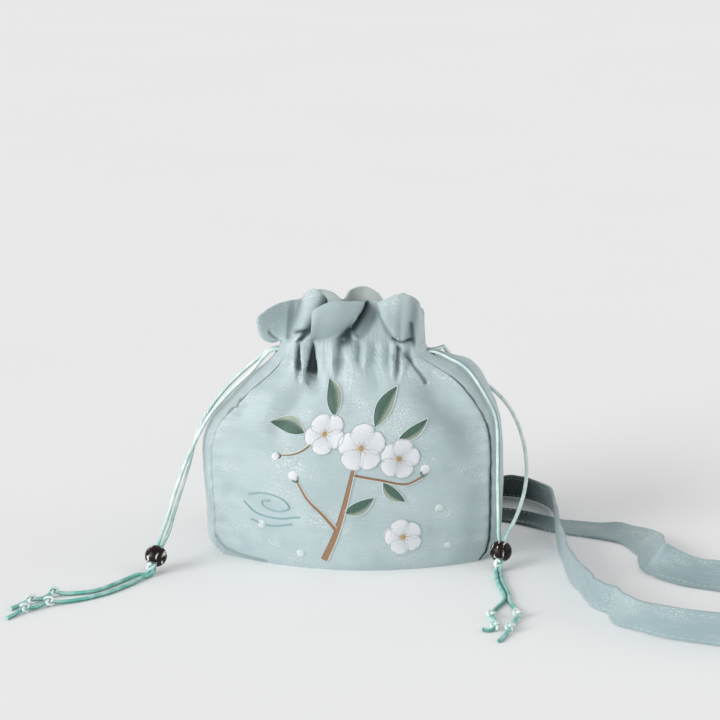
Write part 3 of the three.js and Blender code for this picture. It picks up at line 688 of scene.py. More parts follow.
def smoothstep(value, low, high):
    """Eased rise from 0 to 1 between two limits."""
    t = np.clip((np.asarray(value, float) - low) / (high - low), 0, 1)
    return t * t * (3 - 2 * t)


def stack(x, y, z):
    """Points from their coordinates."""
    return np.stack(np.broadcast_arrays(x, y, z), axis=-1)


def unit(vectors):
    """Vectors of the same directions, of length 1."""
    return vectors / np.maximum(np.linalg.norm(vectors, axis=-1, keepdims=True), 1e-9)


def section_point(u, h):
    """Plain section of the bag at a place round it and a height."""
    panel = np.floor(u)
    across = 2 * (u - panel) - 1
    bow = 1 - across**2
    width = SECTIONS.at("width", h)
    depth = SECTIONS.at("depth", h)
    lean = SECTIONS.at("lean", h) / 2
    side = SECTIONS.at("side", h) * bow
    left = SECTIONS.at("left", h)
    x = np.select([panel == 0, panel == 1, panel == 2],
                  [width * across + left * (1 - across) / 2,
                   width + lean * (1 + across) + side,
                   lean * (1 - across) - width * across + left * (1 + across) / 2],
                  left - width - side)
    front = SECTIONS.at("front", h) * bow
    back = SECTIONS.at("back", h) * bow
    y = np.select([panel == 0, panel == 1, panel == 2],
                  [-depth - front, depth * across, depth + back],
                  -depth * across)
    arch = np.where(panel % 2 == 0, ARCH * bow * smoothstep(h, ARCH_FOOT, CORD_LINE), 0)
    away = (u - HUMP_AT) / np.where(u < HUMP_AT, HUMP_FRONT, HUMP_BACK)
    hump = HUMP * np.exp(-away**2) * smoothstep(h, *HUMP_RISES) * (1 - smoothstep(h, *HUMP_FALLS))
    return stack(x, y, h + arch + hump)


def gathers(u, h):
    """How far the drawn-up cloth stands out below and in the casing."""
    place = 0.5 + section_point(u, h)[..., 0] / (2 * SECTIONS.at("width", CORD_LINE))

    def drawn(table):
        foot = table.at("foot", place)
        held = 1 - RELEASE * smoothstep(h, CORD_LINE, CASING_TOP)
        return table.at("out", place) * smoothstep((h - foot) / (CORD_LINE - foot), 0, GATHERED) * held
    panel = np.floor(u)
    return np.select([panel == 0, panel == 2], [drawn(GATHERS), drawn(BACK_GATHERS)], 0)


BODY_STEP = 0.02


def body_point(u, h):
    """Outer face of the gathered body and casing."""
    here = section_point(u, h)
    before = unit(here - section_point((u - BODY_STEP) % PANELS, h))
    after = unit(section_point((u + BODY_STEP) % PANELS, h) - here)
    outward = np.cross(unit(before + after), np.array(UP))
    return here + outward * gathers(u, h)[..., None]


def from_left_seam(u):
    """Place round the bag, counted both ways from the left front seam."""
    return (u + PANELS / 2) % PANELS - PANELS / 2


def cloth_point(u, h):
    """Outer face of all the cloth, with the frill spread from the casing to its folded hem."""
    u = np.asarray(u, float) % PANELS
    h = np.asarray(h, float)
    body = body_point(u, np.minimum(h, CASING_TOP))
    rise = np.clip((h - CASING_TOP) / (HEM - CASING_TOP), 0, 1)
    quick = FLARE_LEAST + (1 - FLARE_LEAST) * np.exp(-(from_left_seam(u) / FLARE_REACH)**4)
    spread = quick * (1 - (1 - rise)**2) + (1 - quick) * rise**2 * (3 - 2 * rise)
    x = body[..., 0] + (HEM_LOOP.at("x", u) - body[..., 0]) * spread
    y = body[..., 1] + (HEM_LOOP.at("y", u) - body[..., 1]) * spread
    droop = DROOP * np.exp(-((from_left_seam(u) - DROOP_AT) / DROOP_REACH)**2) * 4 * rise * (1 - rise)
    z = body[..., 2] + (HEM_LOOP.at("z", u) - body[..., 2]) * rise - droop
    return stack(x, y, z)


def rolling(u, h, scale, seed):
    """Slow rise and fall over the cloth, from -1 to 1."""
    places = (section_point(u % PANELS, h) / scale + [seed, 0, 0]).reshape(-1, 3)
    return np.array([noise.noise(Vector(place)) for place in places]).reshape(np.shape(u))


# Width of a bowed panel, for each unit of half width
BOWED = 2.1


def seam_distance(u, h):
    """Millimetres from the nearest side seam, along the section."""
    panel = np.floor(u)
    from_seam = np.minimum(u - panel, panel + 1 - u)
    width = BOWED * np.where(panel % 2 == 0, SECTIONS.at("width", h), SECTIONS.at("depth", h))
    return from_seam * width


# Creases and soft hollows of the front: how much shade is painted in them, how deep, how wide, and the line
# each follows, across and up
CREASES = [
    (0.32, 1.6, 1.2, [(-37, 160), (-36.6, 150), (-36, 142)]),
    (0.44, 1.7, 2, [(-27.5, 160), (-27, 150), (-26.4, 142)]),
    (0.08, 1.2, 5, [(-26, 142), (-23, 132)]),
    (0.06, 3.4, 8, [(-28, 134), (-38, 120), (-50, 103)]),
    (0, 1.6, 6, [(-50, 138), (-62, 126), (-76, 112)]),
    (0.05, 1.6, 6, [(-8, 146), (-6, 134)]),
    (0.05, 1.4, 5, [(14, 146), (20, 134)]),
    (0.5, 2.4, 1.4, [(31, 158), (36, 154), (41, 149), (49, 141), (53, 136)]),
    (0.1, 2, 9, [(54, 134), (68, 116), (86, 84)]),
    (0.12, 2, 9, [(56, 128), (74, 112), (88, 92)]),
    (0.04, 2, 7, [(62, 112), (74, 104), (90, 100)]),
    (0, 1.6, 9, [(-80, 92), (-60, 84), (-38, 80)]),
    (0.03, 2.2, 7, [(40, 78), (64, 69), (90, 68)]),
    (0.02, 1.8, 6, [(-84, 52), (-62, 44), (-40, 42)]),
    (0.08, 1.6, 9, [(92, 62), (90, 40), (91, 10)]),
    (0.4, 0.8, 1.6, [(-97, 14), (-90, 6), (-76, 2.5), (-60, 1)]),
    (0.02, 1.3, 5, [(60, 30), (74, 24), (86, 22)]),
    (0.03, 1.2, 5, [(-90, 30), (-82, 18), (-70, 10)]),
]
CREASES_END = (146, 156)

# Folds of the frill in the same way, round the casing from the left front seam and up. Their painted shade
# also stands for the shadow under the folds that hang over, and lessens it where it is below zero
FRILL_FOLDS = [
    (0.9, 0.8, 2, [(8.6, 158), (8.3, 170), (9.2, 182), (10.6, 194)]),
    (0.5, 0.9, 1.6, [(0, 162), (1, 176), (2.5, 194)]),
    (0, -1.3, 3.5, [(4.3, 166), (5.2, 194)]),
    (1.3, 0, 6, [(43, 157), (42, 188)]),
    (-0.3, -1, 1.3, [(31.4, 180), (40, 168), (51.3, 157)]),
    (0.4, 1.4, 1.6, [(62.7, 193), (67.5, 178), (73.2, 166), (78.9, 158)]),
    (0, -2, 4, [(67.5, 193), (72.2, 178), (77.9, 166), (83.6, 158)]),
    (0.3, 1.2, 5, [(55.1, 160), (58.9, 182)]),
    (0.4, 0.8, 4, [(90.7, 160), (92.6, 190)]),
    (0.5, 0.8, 2, [(93.6, 158), (90.3, 172)]),
    (0.8, 0.8, 1.3, [(77.9, 159), (83.6, 158), (91.2, 160)]),
    (0.9, 1.2, 1.6, [(4.3, 165), (7.8, 164)]),
    (0.6, 1, 2, [(-23.8, 163), (-23.8, 174)]),
    (0, 0.6, 9, [(-9.5, 174), (-5.7, 192)]),
]
PANEL_SPAN = 95

# Painted shade in the grooves and painted shadow along the seams, deepest at the right front seam
GROOVE_SHADE_DEPTH = 9
SEAM_SHADE_WIDE = 0.8
SEAM_SHADE = 0.3
SEAM_SHADE_RIGHT = 1.6
SEAM_SHADE_FADES = (132, 142)

# The casing swells between its two stitch lines
CASING_PUFF = 0.5
STITCH_DIP = 0.25
STITCH_SOFT = 1.1

# Fine pleats of the drawn-up cloth: their share, how many to a panel, where they start and their lean
FINE_PLEAT = 0.07
FINE_PLEATS = [
    (1, 29, 0, 0.02),
    (0.6, 43, 0.3, -0.03),
]
PLEATS_START = (122, 146)
PLEATS_END = (160, 180)

# Side seams dip in, less so in the casing, and pucker the cloth beside them
SEAM_DIP = 1.1
SEAM_SOFT = 1.5
SEAM_EASE = 0.85
SEAM_EASES = (140, 156)
PUCKER = 0.55
PUCKER_FROM = 2
PUCKER_REACH = 9
PUCKER_PITCH = 10.5
PUCKER_SWAY = 0.3
PUCKER_SWAY_LONG = 17
PUCKER_SHIFT = 0.37

# Slow rises and falls of the body: how high, then how long and where their pattern starts
BODY_STARTS = (4, 26)
BODY_ENDS = (128, 142)
SAG = 1.4
SAG_ROLL = (55, 3.1)
DENT = 0.75
DENT_ROLL = (21, 9.7)
CRUMPLE = 0.55
CRUMPLE_ROLL = (11, 5.3)
CRUMPLE_REACH = 16
CRUMPLE_STARTS = (1, 8)
CRUMPLED_FOOT = (8, 42)
CRUMPLED_TOP = (96, 122)


def line_distance(x, z, line):
    """Distance of points from a line of straight runs, across and up."""
    nearest = np.full(np.shape(x), np.inf)
    for (x0, z0), (x1, z1) in zip(line, line[1:]):
        run = (x1 - x0)**2 + (z1 - z0)**2
        t = np.clip(((x - x0) * (x1 - x0) + (z - z0) * (z1 - z0)) / run, 0, 1)
        nearest = np.minimum(nearest, np.hypot(x - x0 - t * (x1 - x0), z - z0 - t * (z1 - z0)))
    return nearest


def folds(rows, across, up):
    """How much painted shade and how deep a set of folds is at places across and up."""
    dark = np.zeros(np.shape(across))
    deep = np.zeros(np.shape(across))
    for shade, dip, wide, line in rows:
        near = np.exp(-(line_distance(across, up, line) / wide)**2)
        dark = dark + shade * near
        deep = deep + dip * near
    return np.stack([dark, deep])


def creases(u, h):
    """How much painted shade and how deep the creases of the front and the folds of the frill are."""
    x, _, z = np.moveaxis(cloth_point(u, h), -1, 0)
    front = np.where(np.floor(u) == 0, 1 - smoothstep(h, *CREASES_END), 0)
    return front * folds(CREASES, x, z) + folds(FRILL_FOLDS, from_left_seam(u) * PANEL_SPAN, h)


def painted_shade_amount(u, h):
    """Painted shade on the cloth, from 0 to 1, in the grooves of the gathers, the creases, the frill folds
    and along the seams.
    """
    u = u % PANELS
    deep = np.maximum(-gathers(u, h), 0) / GROOVE_SHADE_DEPTH + creases(u, h)[0]
    seam = np.exp(-(seam_distance(u, h) / SEAM_SHADE_WIDE)**2) * (1 - smoothstep(h, *SEAM_SHADE_FADES))
    # Painted shadow along the seams, stronger at the right front seam
    deep = deep + seam * np.where(np.round(u) == 1, SEAM_SHADE_RIGHT, SEAM_SHADE)
    return np.clip(deep, 0, 1)


def detail(u, h):
    """Fine rise of the cloth over its main form: casing, stitch lines, puckers and soft dents."""
    u = u % PANELS
    middle = (CASING_FOOT + CASING_TOP) / 2
    half = (CASING_TOP - CASING_FOOT) / 2
    rise = CASING_PUFF * np.clip(1 - ((h - middle) / half)**2, 0, 1)
    for line in (CASING_FOOT, CASING_TOP):
        rise = rise - STITCH_DIP * np.exp(-((h - line) / STITCH_SOFT)**2)
    drawn = smoothstep(h, *PLEATS_START) * (1 - smoothstep(h, *PLEATS_END))
    fine = sum(share * np.sin(2 * np.pi * (count * u + start + lean * h))
               for share, count, start, lean in FINE_PLEATS)
    rise = rise + FINE_PLEAT * fine * drawn
    rise = rise - creases(u, h)[1]
    off = seam_distance(u, h)
    seam = np.exp(-(off / SEAM_SOFT)**2) * (1 - SEAM_EASE * smoothstep(h, *SEAM_EASES))
    rise = rise - SEAM_DIP * seam
    below = 1 - smoothstep(h, *BODY_ENDS)
    sway = PUCKER_SWAY * np.sin(h / PUCKER_SWAY_LONG)
    wave = np.sin(2 * np.pi * (h / PUCKER_PITCH + sway + np.round(u) * PUCKER_SHIFT))
    rise = rise + PUCKER * wave * np.exp(-off / PUCKER_REACH) * below * smoothstep(off, 0, PUCKER_FROM)
    body = smoothstep(h, *BODY_STARTS) * below
    rise = rise + body * (SAG * rolling(u, h, *SAG_ROLL) + DENT * rolling(u, h, *DENT_ROLL))
    ends = 1 - smoothstep(h, *CRUMPLED_FOOT) + smoothstep(h, *CRUMPLED_TOP)
    worked = np.clip(np.exp(-off / CRUMPLE_REACH) + ends, 0, 1)
    crumpled = worked * below * smoothstep(h, *CRUMPLE_STARTS)
    return rise + CRUMPLE * crumpled * rolling(u, h, *CRUMPLE_ROLL)


ALONG_STEP = 0.002
UP_STEP = 0.4


def cloth_normal(u, h):
    """The way out of the cloth."""
    along = cloth_point(u + ALONG_STEP, h) - cloth_point(u - ALONG_STEP, h)
    rise = cloth_point(u, h + UP_STEP) - cloth_point(u, h - UP_STEP)
    return unit(np.cross(along, rise))


def cloth_face(u, h, raised=0.0):
    """Finished outer face of the cloth, or what is stitched on it, raised over it."""
    return cloth_point(u, h) + cloth_normal(u, h) * (detail(u, h) + raised)[..., None]


# Rows of the cloth crowd together in the gathers and the frill
ROW_SHARES = (0, 0.42, 1)
ROW_HEIGHTS = (0, 108, HEM)


def panel_height(share):
    """Height of a row of the cloth."""
    return np.interp(share, ROW_SHARES, ROW_HEIGHTS)


def cut_slit(bm):
    """Cuts the slit for a pair of cords in the flat grid of a side."""
    ends = [CORD_LINE - SLIT_HIGH / 2, CORD_LINE + SLIT_HIGH / 2]
    low, high = np.interp(ends, ROW_HEIGHTS, ROW_SHARES)
    half = SLIT_WIDE / 2 / (2 * SECTIONS.at("depth", CORD_LINE))
    across = Vector((1, 0, 0))
    upward = Vector((0, 1, 0))
    for way, place in ((across, 0.5 - half), (across, 0.5 + half), (upward, low), (upward, high)):
        whole = bm.verts[:] + bm.edges[:] + bm.faces[:]
        bmesh.ops.bisect_plane(bm, geom=whole, plane_co=way * place, plane_no=way)
    inside = []
    for face in bm.faces:
        middle = face.calc_center_median()
        if abs(middle.x - 0.5) < half and low < middle.y < high:
            inside.append(face)
    bmesh.ops.delete(bm, geom=inside, context="FACES")


# The third tone is the painted shade of grooves, seams and folds
BAG_CLOTH = satin_cloth("bag cloth", tone(184, 201, 203), tone(167, 186, 189), tone(44, 68, 74), 0.62, 0.48)
LINING = lining_cloth()
SEAM_MARGIN = 0.0001
PANEL_APART = 0.31

# Panels in turn: the piece, the solid that it stands for, its columns and rows, and its width laid flat, in
# metres
CLOTH_PANELS = [
    ("front_cloth", "front_panel", 224, 180, 0.225),
    ("right_side_cloth", "gusset_right", 64, 150, 0.075),
    ("back_cloth", "back_panel", 190, 150, 0.225),
    ("left_side_cloth", "gusset_left", 64, 150, 0.075),
]


def cloth_panel(panel, name, node, columns, rows, width):
    """One panel of the bag from the base to the hem."""
    bm = bmesh.new()
    cloth = bm.loops.layers.uv.new("cloth")
    painted_shade = bm.verts.layers.float.new("painted_shade")
    bmesh.ops.create_grid(bm, x_segments=columns, y_segments=rows, size=0.5)
    bmesh.ops.translate(bm, verts=bm.verts, vec=(0.5, 0.5, 0))
    if panel % 2 == 1:
        cut_slit(bm)
    flat = np.array([v.co for v in bm.verts])
    h = panel_height(flat[:, 1])
    margin = SEAM_MARGIN * (1 - smoothstep(h, CASING_FOOT, CASING_TOP))
    u = panel + margin + (1 - 2 * margin) * flat[:, 0]
    for face in bm.faces:
        for loop in face.loops:
            at = loop.vert.co
            loop[cloth].uv = (panel * PANEL_APART + at.x * width, panel_height(at.y) * MM)
    # Each point also takes its amount of painted shade
    for vert, point, deep in zip(bm.verts, cloth_face(u, h), painted_shade_amount(u, h)):
        vert.co = point * MM
        vert[painted_shade] = deep
    piece = mesh_piece(name, bm)
    wall = piece.modifiers.new("wall", "SOLIDIFY")
    wall.thickness = CLOTH * MM
    wall.offset = -1
    wall.material_offset = 1
    wall.use_quality_normals = True
    add_piece(piece, BAG_CLOTH, "bag_cloth", node)
    piece.data.materials.append(LINING)


for panel, row in enumerate(CLOTH_PANELS):
    cloth_panel(panel, *row)

BASE_CORNERS = 160
BASE_HEM = 6


def base_cloth():
    """Flat base inside the foot of the walls."""
    bm = bmesh.new()
    cloth = bm.loops.layers.uv.new("cloth")
    places = np.linspace(0, PANELS, BASE_CORNERS, endpoint=False)
    edge = cloth_point(places, np.zeros_like(places))
    inward = -unit(edge * np.array([1, 1, 0]))
    ring = edge + inward * (CLOTH + SEATED)
    corners = [bm.verts.new((x * MM, y * MM, 0)) for x, y, _ in ring]
    whole = bm.faces.new(corners)
    bmesh.ops.inset_individual(bm, faces=[whole], thickness=BASE_HEM * MM)
    for face in bm.faces:
        for loop in face.loops:
            loop[cloth].uv = (loop.vert.co.x, loop.vert.co.y)
    piece = mesh_piece("base_cloth", bm, smooth=False)
    wall = piece.modifiers.new("wall", "SOLIDIFY")
    wall.thickness = CLOTH * MM
    wall.offset = 1
    add_piece(piece, BAG_CLOTH, "bag_cloth", "base_panel")


base_cloth()


# Embroidery on the front


STITCH_FOOT = 0.12
STITCH_CROWN = 0.75
THREAD_BACK = 0.25
LINE_STEP = 0.01
RIM_POINTS = 9

# Shapes of a petal and a leaf, as shares of their length and half width
PETAL_WIDEST = 0.58
PETAL_FOOT = 0.12
PETAL_START = 0.05
PETAL_NOTCH = 0.07
NOTCH_WIDE = 0.3
PETAL_SHADE = 0.15
LEAF_FULL = 1.15
LEAF_TAPER = 0.3
LEAF_ROUND = 0.85
LEAF_RIB = 0.45
RIB_WIDE = 0.13
LEAF_PALES = (0.1, 0.75)


def on_front(across, up, raised):
    """Points of the front at a distance from its middle and a height, raised over the cloth."""
    u = 0.5 + across / (2 * SECTIONS.at("width", up))
    return cloth_face(u, up, raised)


def turned(start, turn, along, beside):
    """Place on the front that is so far from a start the way that a petal or leaf points, and beside it."""
    ahead = math.cos(math.radians(turn))
    up = math.sin(math.radians(turn))
    return start[0] + along * ahead + beside * up, start[1] + along * up - beside * ahead


def petal(start, turn, length, width, lift=0.0):
    """Rounded petal with a notch at its tip."""
    def shape(across, along):
        opening = np.sin(np.pi / 2 * np.clip(along / PETAL_WIDEST, 0, 1))
        closing = np.sqrt(np.clip(1 - ((along - PETAL_WIDEST) / (1 - PETAL_WIDEST))**2, 0, 1))
        opened = PETAL_FOOT + (1 - PETAL_FOOT) * opening
        half = width / 2 * np.where(along < PETAL_WIDEST, opened, closing)
        notch = PETAL_NOTCH * length * np.exp(-(across / NOTCH_WIDE)**2) * along**5
        reach = length * (PETAL_START + (1 - PETAL_START) * along) - notch
        x, y = turned(start, turn, reach, across * half)
        crown = STITCH_CROWN * np.sqrt(np.clip(1 - across**2, 0, 1)) * np.sin(np.pi * along)**0.5
        return x, y, lift + STITCH_FOOT + crown, PETAL_SHADE + (1 - PETAL_SHADE) * along
    return shape, length, width


def leaf(start, turn, length, width, bend):
    """Pointed leaf, dark on one side of its rib and pale on the other."""
    def shape(across, along):
        half = width / 2 * np.sin(np.pi * along)**LEAF_ROUND * (LEAF_FULL - LEAF_TAPER * along)
        x, y = turned(start, turn, length * along, across * half + bend * np.sin(np.pi * along))
        crown = STITCH_CROWN * np.clip(1 - across**2, 0, 1) * np.sin(np.pi * along)**0.5
        rib = LEAF_RIB * np.exp(-(across / RIB_WIDE)**2) * np.sin(np.pi * along)
        return x, y, STITCH_FOOT + crown - rib, smoothstep(across, *LEAF_PALES)
    return shape, length, width


def stitched_line(points, width, end_width=None):
    """Line of satin stitch through a few points, as wide at its end as told."""
    points = np.array(points, float)
    end_width = width if end_width is None else end_width
    runs = np.r_[0, np.cumsum(np.hypot(*np.diff(points, axis=0).T))]
    path = Table("run x y", np.c_[runs / runs[-1], points])

    def shape(across, along):
        dx = path.at("x", along + LINE_STEP) - path.at("x", along - LINE_STEP)
        dy = path.at("y", along + LINE_STEP) - path.at("y", along - LINE_STEP)
        size = np.hypot(dx, dy)
        half = (width + (end_width - width) * along) / 2 * across
        raised = STITCH_FOOT + STITCH_CROWN * np.sqrt(np.clip(1 - across**2, 0, 1))
        x = path.at("x", along) + half * dy / size
        y = path.at("y", along) - half * dx / size
        return x, y, raised, (across + 1) / 2
    return shape, runs[-1], width


def rim(patch, edge, first=0.0):
    """Points along one edge of a petal, leaf or stem, from near its foot to its tip."""
    along = np.linspace(first, 1, RIM_POINTS)
    x, y, _, _ = patch[0](np.full_like(along, edge), along)
    return np.c_[x, y]


class Stitching:
    """Satin stitch in one thread, joined into one piece."""

    def __init__(self, name, finish):
        self.name = name
        self.finish = finish
        self.bm = bmesh.new()
        self.thread = self.bm.loops.layers.uv.new("thread")
        self.shade = self.bm.verts.layers.float.new("shade")

    def add(self, patch, columns, rows):
        """Stitches one patch on the front."""
        shape, length, width = patch
        made = bmesh.ops.create_grid(self.bm, x_segments=columns, y_segments=rows, size=1)["verts"]
        flat = np.array([v.co for v in made])
        faces = {face for vert in made for face in vert.link_faces}
        for face in faces:
            for loop in face.loops:
                at = loop.vert.co
                loop[self.thread].uv = ((at.y + 1) / 2 * length * MM, at.x / 2 * width * MM)
        across, up, raised, shade = shape(flat[:, 0], (flat[:, 1] + 1) / 2)
        for vert, point, share in zip(made, on_front(across, up, raised), shade):
            vert.co = point * MM
            vert[self.shade] = share

    def finished(self):
        """Ends the piece, with a thin back."""
        piece = mesh_piece(self.name, self.bm)
        wall = piece.modifiers.new("thread", "SOLIDIFY")
        wall.thickness = THREAD_BACK * MM
        wall.offset = -1
        add_piece(piece, self.finish, "embroidery_thread")


# Blossoms: middle across and up, size, and how far they are turned
BLOSSOMS = [
    (8, 92, 17, 20),
    (-19, 101, 14.5, 50),
    (35, 84, 14.5, 5),
    (38, 27, 13.5, 34),
]

# Leaves: foot across and up, the way they point, length, width and bend
LEAVES = [
    (-14.4, 112.8, 112, 24, 11, 2),
    (15.5, 106, 62, 29, 12, -2),
    (33, 97.2, 36, 25, 9, 2),
    (-32.8, 100.7, 168, 29, 12, 2.5),
    (-3.5, 45, 28, 25, 10, 2),
    (24, 67.6, 318, 22, 9, 2),
]

# Buds and loose petals in the same way, without the bend
BUDS = [
    (-35, 66, 128, 9, 7),
    (52, 70, 72, 9, 7),
    (-48, 84, 200, 7, 6),
]
LOOSE_PETALS = [
    (60, 44, 40, 7, 6),
    (-58, 30, 160, 7, 6),
    (66, 17, 10, 6, 5),
    (-30, 14, 200, 7, 6),
]

# Stems: points from foot to tip, and the width at each end
STEMS = [
    ([(-17, 9), (-9, 28), (-2, 52), (3.8, 76.5)], 5.2, 2.8),
    ([(-8, 32), (-18, 44), (-28, 54), (-35, 66)], 3, 1.8),
    ([(3, 72.5), (22, 69), (40, 65.5), (52, 70)], 2, 1.4),
    ([(-27.8, 93), (-34, 88), (-41, 85), (-48, 84)], 1.6, 1.2),
]

# Lines of the pale waves
WAVES = [
    [(-72, 52), (-60, 55), (-46, 52), (-42, 46), (-50, 42), (-60, 44), (-62, 48), (-56, 50)],
    [(-76, 46), (-66, 39), (-50, 37), (-34, 40)],
    [(-70, 34), (-56, 31), (-40, 34)],
]

# Threads: the piece each makes, its name, its tones from near to far and the slant of its stitches
THREADS = [
    ("stitched_petals", "petal thread", tone(196, 204, 212), tone(240, 241, 243), 0.0),
    ("stitched_leaves", "leaf thread", tone(62, 98, 84), tone(172, 182, 164), 0.9),
    ("stitched_stems", "stem thread", tone(122, 84, 56), tone(186, 146, 106), 0.5),
    ("stitched_stamens", "gold thread", tone(168, 130, 62), tone(214, 184, 112), 0.0),
    ("stitched_outlines", "pale thread", tone(186, 208, 210), tone(226, 234, 232), 0.4),
    ("stitched_petal_rims", "silver thread", tone(164, 182, 188), tone(212, 220, 224), 0.4),
    ("stitched_ripples", "teal thread", tone(128, 170, 173), tone(164, 198, 200), 0.4),
]
PETALS = 5
PETAL_WIDTH = 0.98
PETAL_OVER = 0.14
GOLD_RAYS = 9
GOLD_TURN = 11
GOLD_LENGTH = 0.42
GOLD_SHORT = 0.72
GOLD_WIDTH = 0.9
GOLD_TIP = 0.6
ANTHER_LENGTH = 1.8
ANTHER_WIDTH = 1.5
CUP_TURN = 26
CUP_LENGTH = 0.62
CUP_WIDTH = 0.42
PETAL_RIM = 0.75
PETAL_RIM_FROM = 0.2
LEAF_RIM = 0.9
STEM_RIM = 1.1
WAVE_WIDTH = 1.1


def embroidery():
    """Blossom branch in satin stitch: petals, leaves, stems and gold stamens."""
    stitched = [Stitching(piece, embroidery_thread(name, near, far, slant))
                for piece, name, near, far, slant in THREADS]
    white, green, brown, gold, pale, silver, teal = stitched
    for x, y, size, spin in BLOSSOMS:
        for number in range(PETALS):
            turn = spin + 360 / PETALS * number
            one = petal((x, y), turn, size, size * PETAL_WIDTH, PETAL_OVER * (number % 2))
            white.add(one, columns=12, rows=14)
            for edge in (-1, 1):
                silver.add(stitched_line(rim(one, edge, PETAL_RIM_FROM), PETAL_RIM), columns=3, rows=24)
        for ray in range(GOLD_RAYS):
            turn = spin + 360 / GOLD_RAYS * ray + GOLD_TURN
            reach = size * GOLD_LENGTH * (1 if ray % 2 else GOLD_SHORT)
            tip = turned((x, y), turn, reach, 0)
            gold.add(stitched_line([(x, y), tip], GOLD_WIDTH, GOLD_TIP), columns=3, rows=5)
            gold.add(petal(tip, turn, ANTHER_LENGTH, ANTHER_WIDTH), columns=4, rows=5)
    for x, y, turn, length, width, bend in LEAVES:
        one = leaf((x, y), turn, length, width, bend)
        green.add(one, columns=14, rows=22)
        for edge in (-1, 1):
            pale.add(stitched_line(rim(one, edge), LEAF_RIM), columns=3, rows=22)
    for x, y, turn, length, width in BUDS:
        white.add(petal((x, y), turn, length, width), columns=10, rows=12)
        for aside in (CUP_TURN, -CUP_TURN):
            cup = leaf((x, y), turn + aside, length * CUP_LENGTH, width * CUP_WIDTH, 0)
            green.add(cup, columns=6, rows=8)
    for x, y, turn, length, width in LOOSE_PETALS:
        pale.add(petal((x, y), turn, length, width), columns=10, rows=12)
    for points, width, end_width in STEMS:
        one = stitched_line(points, width, end_width)
        brown.add(one, columns=6, rows=40)
        pale.add(stitched_line(rim(one, 1), STEM_RIM), columns=3, rows=40)
    for points in WAVES:
        teal.add(stitched_line(points, WAVE_WIDTH), columns=3, rows=60)
    for stitching in stitched:
        stitching.finished()


embroidery()


# Shoulder strap


# The third tone is the painted shadow that the bag casts on the strap
STRAP_CLOTH = satin_cloth("strap cloth", tone(156, 176, 179), tone(138, 160, 164), tone(14, 42, 38),
                          0.5, 0.49)
STRAP_END = STRAP_LINE.places[-1]
STRAP_REACH = 0.1
LYING = 0.05


def strap_middle(station):
    """Middle line of the strap, at the height of its lowest edge."""
    lift = np.maximum(STRAP_LINE.at("lift", station), LYING)
    return stack(STRAP_LINE.at("x", station), STRAP_LINE.at("y", station), lift)


def strap_frame(station):
    """Middle of the strap, the way to its inner edge and the way out of its face."""
    middle = strap_middle(station)
    along = unit(strap_middle(station + STRAP_REACH) - strap_middle(station - STRAP_REACH))
    heading = np.radians(STRAP_LINE.at("heading", station))
    tilt = np.radians(STRAP_LINE.at("tilt", station))
    edge = unit(stack(np.cos(heading), np.sin(heading), np.tan(tilt)))
    edge = unit(edge - along * np.sum(edge * along, axis=-1, keepdims=True))
    face = np.cross(edge, along)
    middle[..., 2] += (STRAP_WIDTH * np.abs(edge[..., 2]) + STRAP_THICK * np.abs(face[..., 2])) / 2
    return middle, edge, face


# Where the lying strap buckles: station, slant over its width, length in stations, and depth
BUCKLES = [
    (17.9, 0.012, 0.16, -1.8),
    (18.55, 0.02, 0.22, 3),
    (19.3, 0.03, 0.3, -2),
    (28.9, -0.012, 0.14, 2.6),
    (29.5, -0.02, 0.2, -2.4),
    (31.6, 0.02, 0.3, 1.6),
]
RIPPLE = 1.3
RIPPLE_LONG = 0.75
RIPPLE_WIDE = 15
LIES_FROM = (8, 10)
LIES_TO = (35, 37)


def strap_point(station, beside, out=0.0):
    """Place on the strap so far beside its middle line and out of its face, with its ripples."""
    middle, edge, face = strap_frame(station)
    lying = smoothstep(station, *LIES_FROM) * (1 - smoothstep(station, *LIES_TO))
    places = np.c_[station / RIPPLE_LONG, beside / RIPPLE_WIDE, np.zeros_like(station)]
    ripple = RIPPLE * np.array([noise.noise(Vector(place)) for place in places])
    for at, slant, reach, depth in BUCKLES:
        ripple = ripple + depth * np.exp(-((station - at - slant * beside) / reach)**2)
    points = middle + edge * beside[:, None] + face * (out + ripple * lying)[:, None]
    points[:, 2] = np.maximum(points[:, 2], STRAP_THICK / 2)
    return points


STRAP_STEPS = 720
STRAP_COLUMNS = 16
STITCHES = 290
STITCH_STEPS = 8
STITCH_IN = 2.6
STITCH_WIDE = 0.8
STITCH_RAISED = 0.22
STITCH_SUNK = 0.15
STITCH_PART = 0.3
LENGTH_STEPS = 2000

# Painted shadow of the bag on the strap where it lies behind the bag: how dark, and from where to where
STRAP_SHADE = 0.9
SHADE_STARTS = (84, 104)
SHADE_ENDS = (122, 152)
SHADE_BACK = (20, 45)


def strap_length():
    """Length of the strap's middle line, in metres."""
    centre = strap_middle(np.linspace(0, STRAP_END, LENGTH_STEPS))
    return np.linalg.norm(np.diff(centre, axis=0), axis=1).sum() * MM


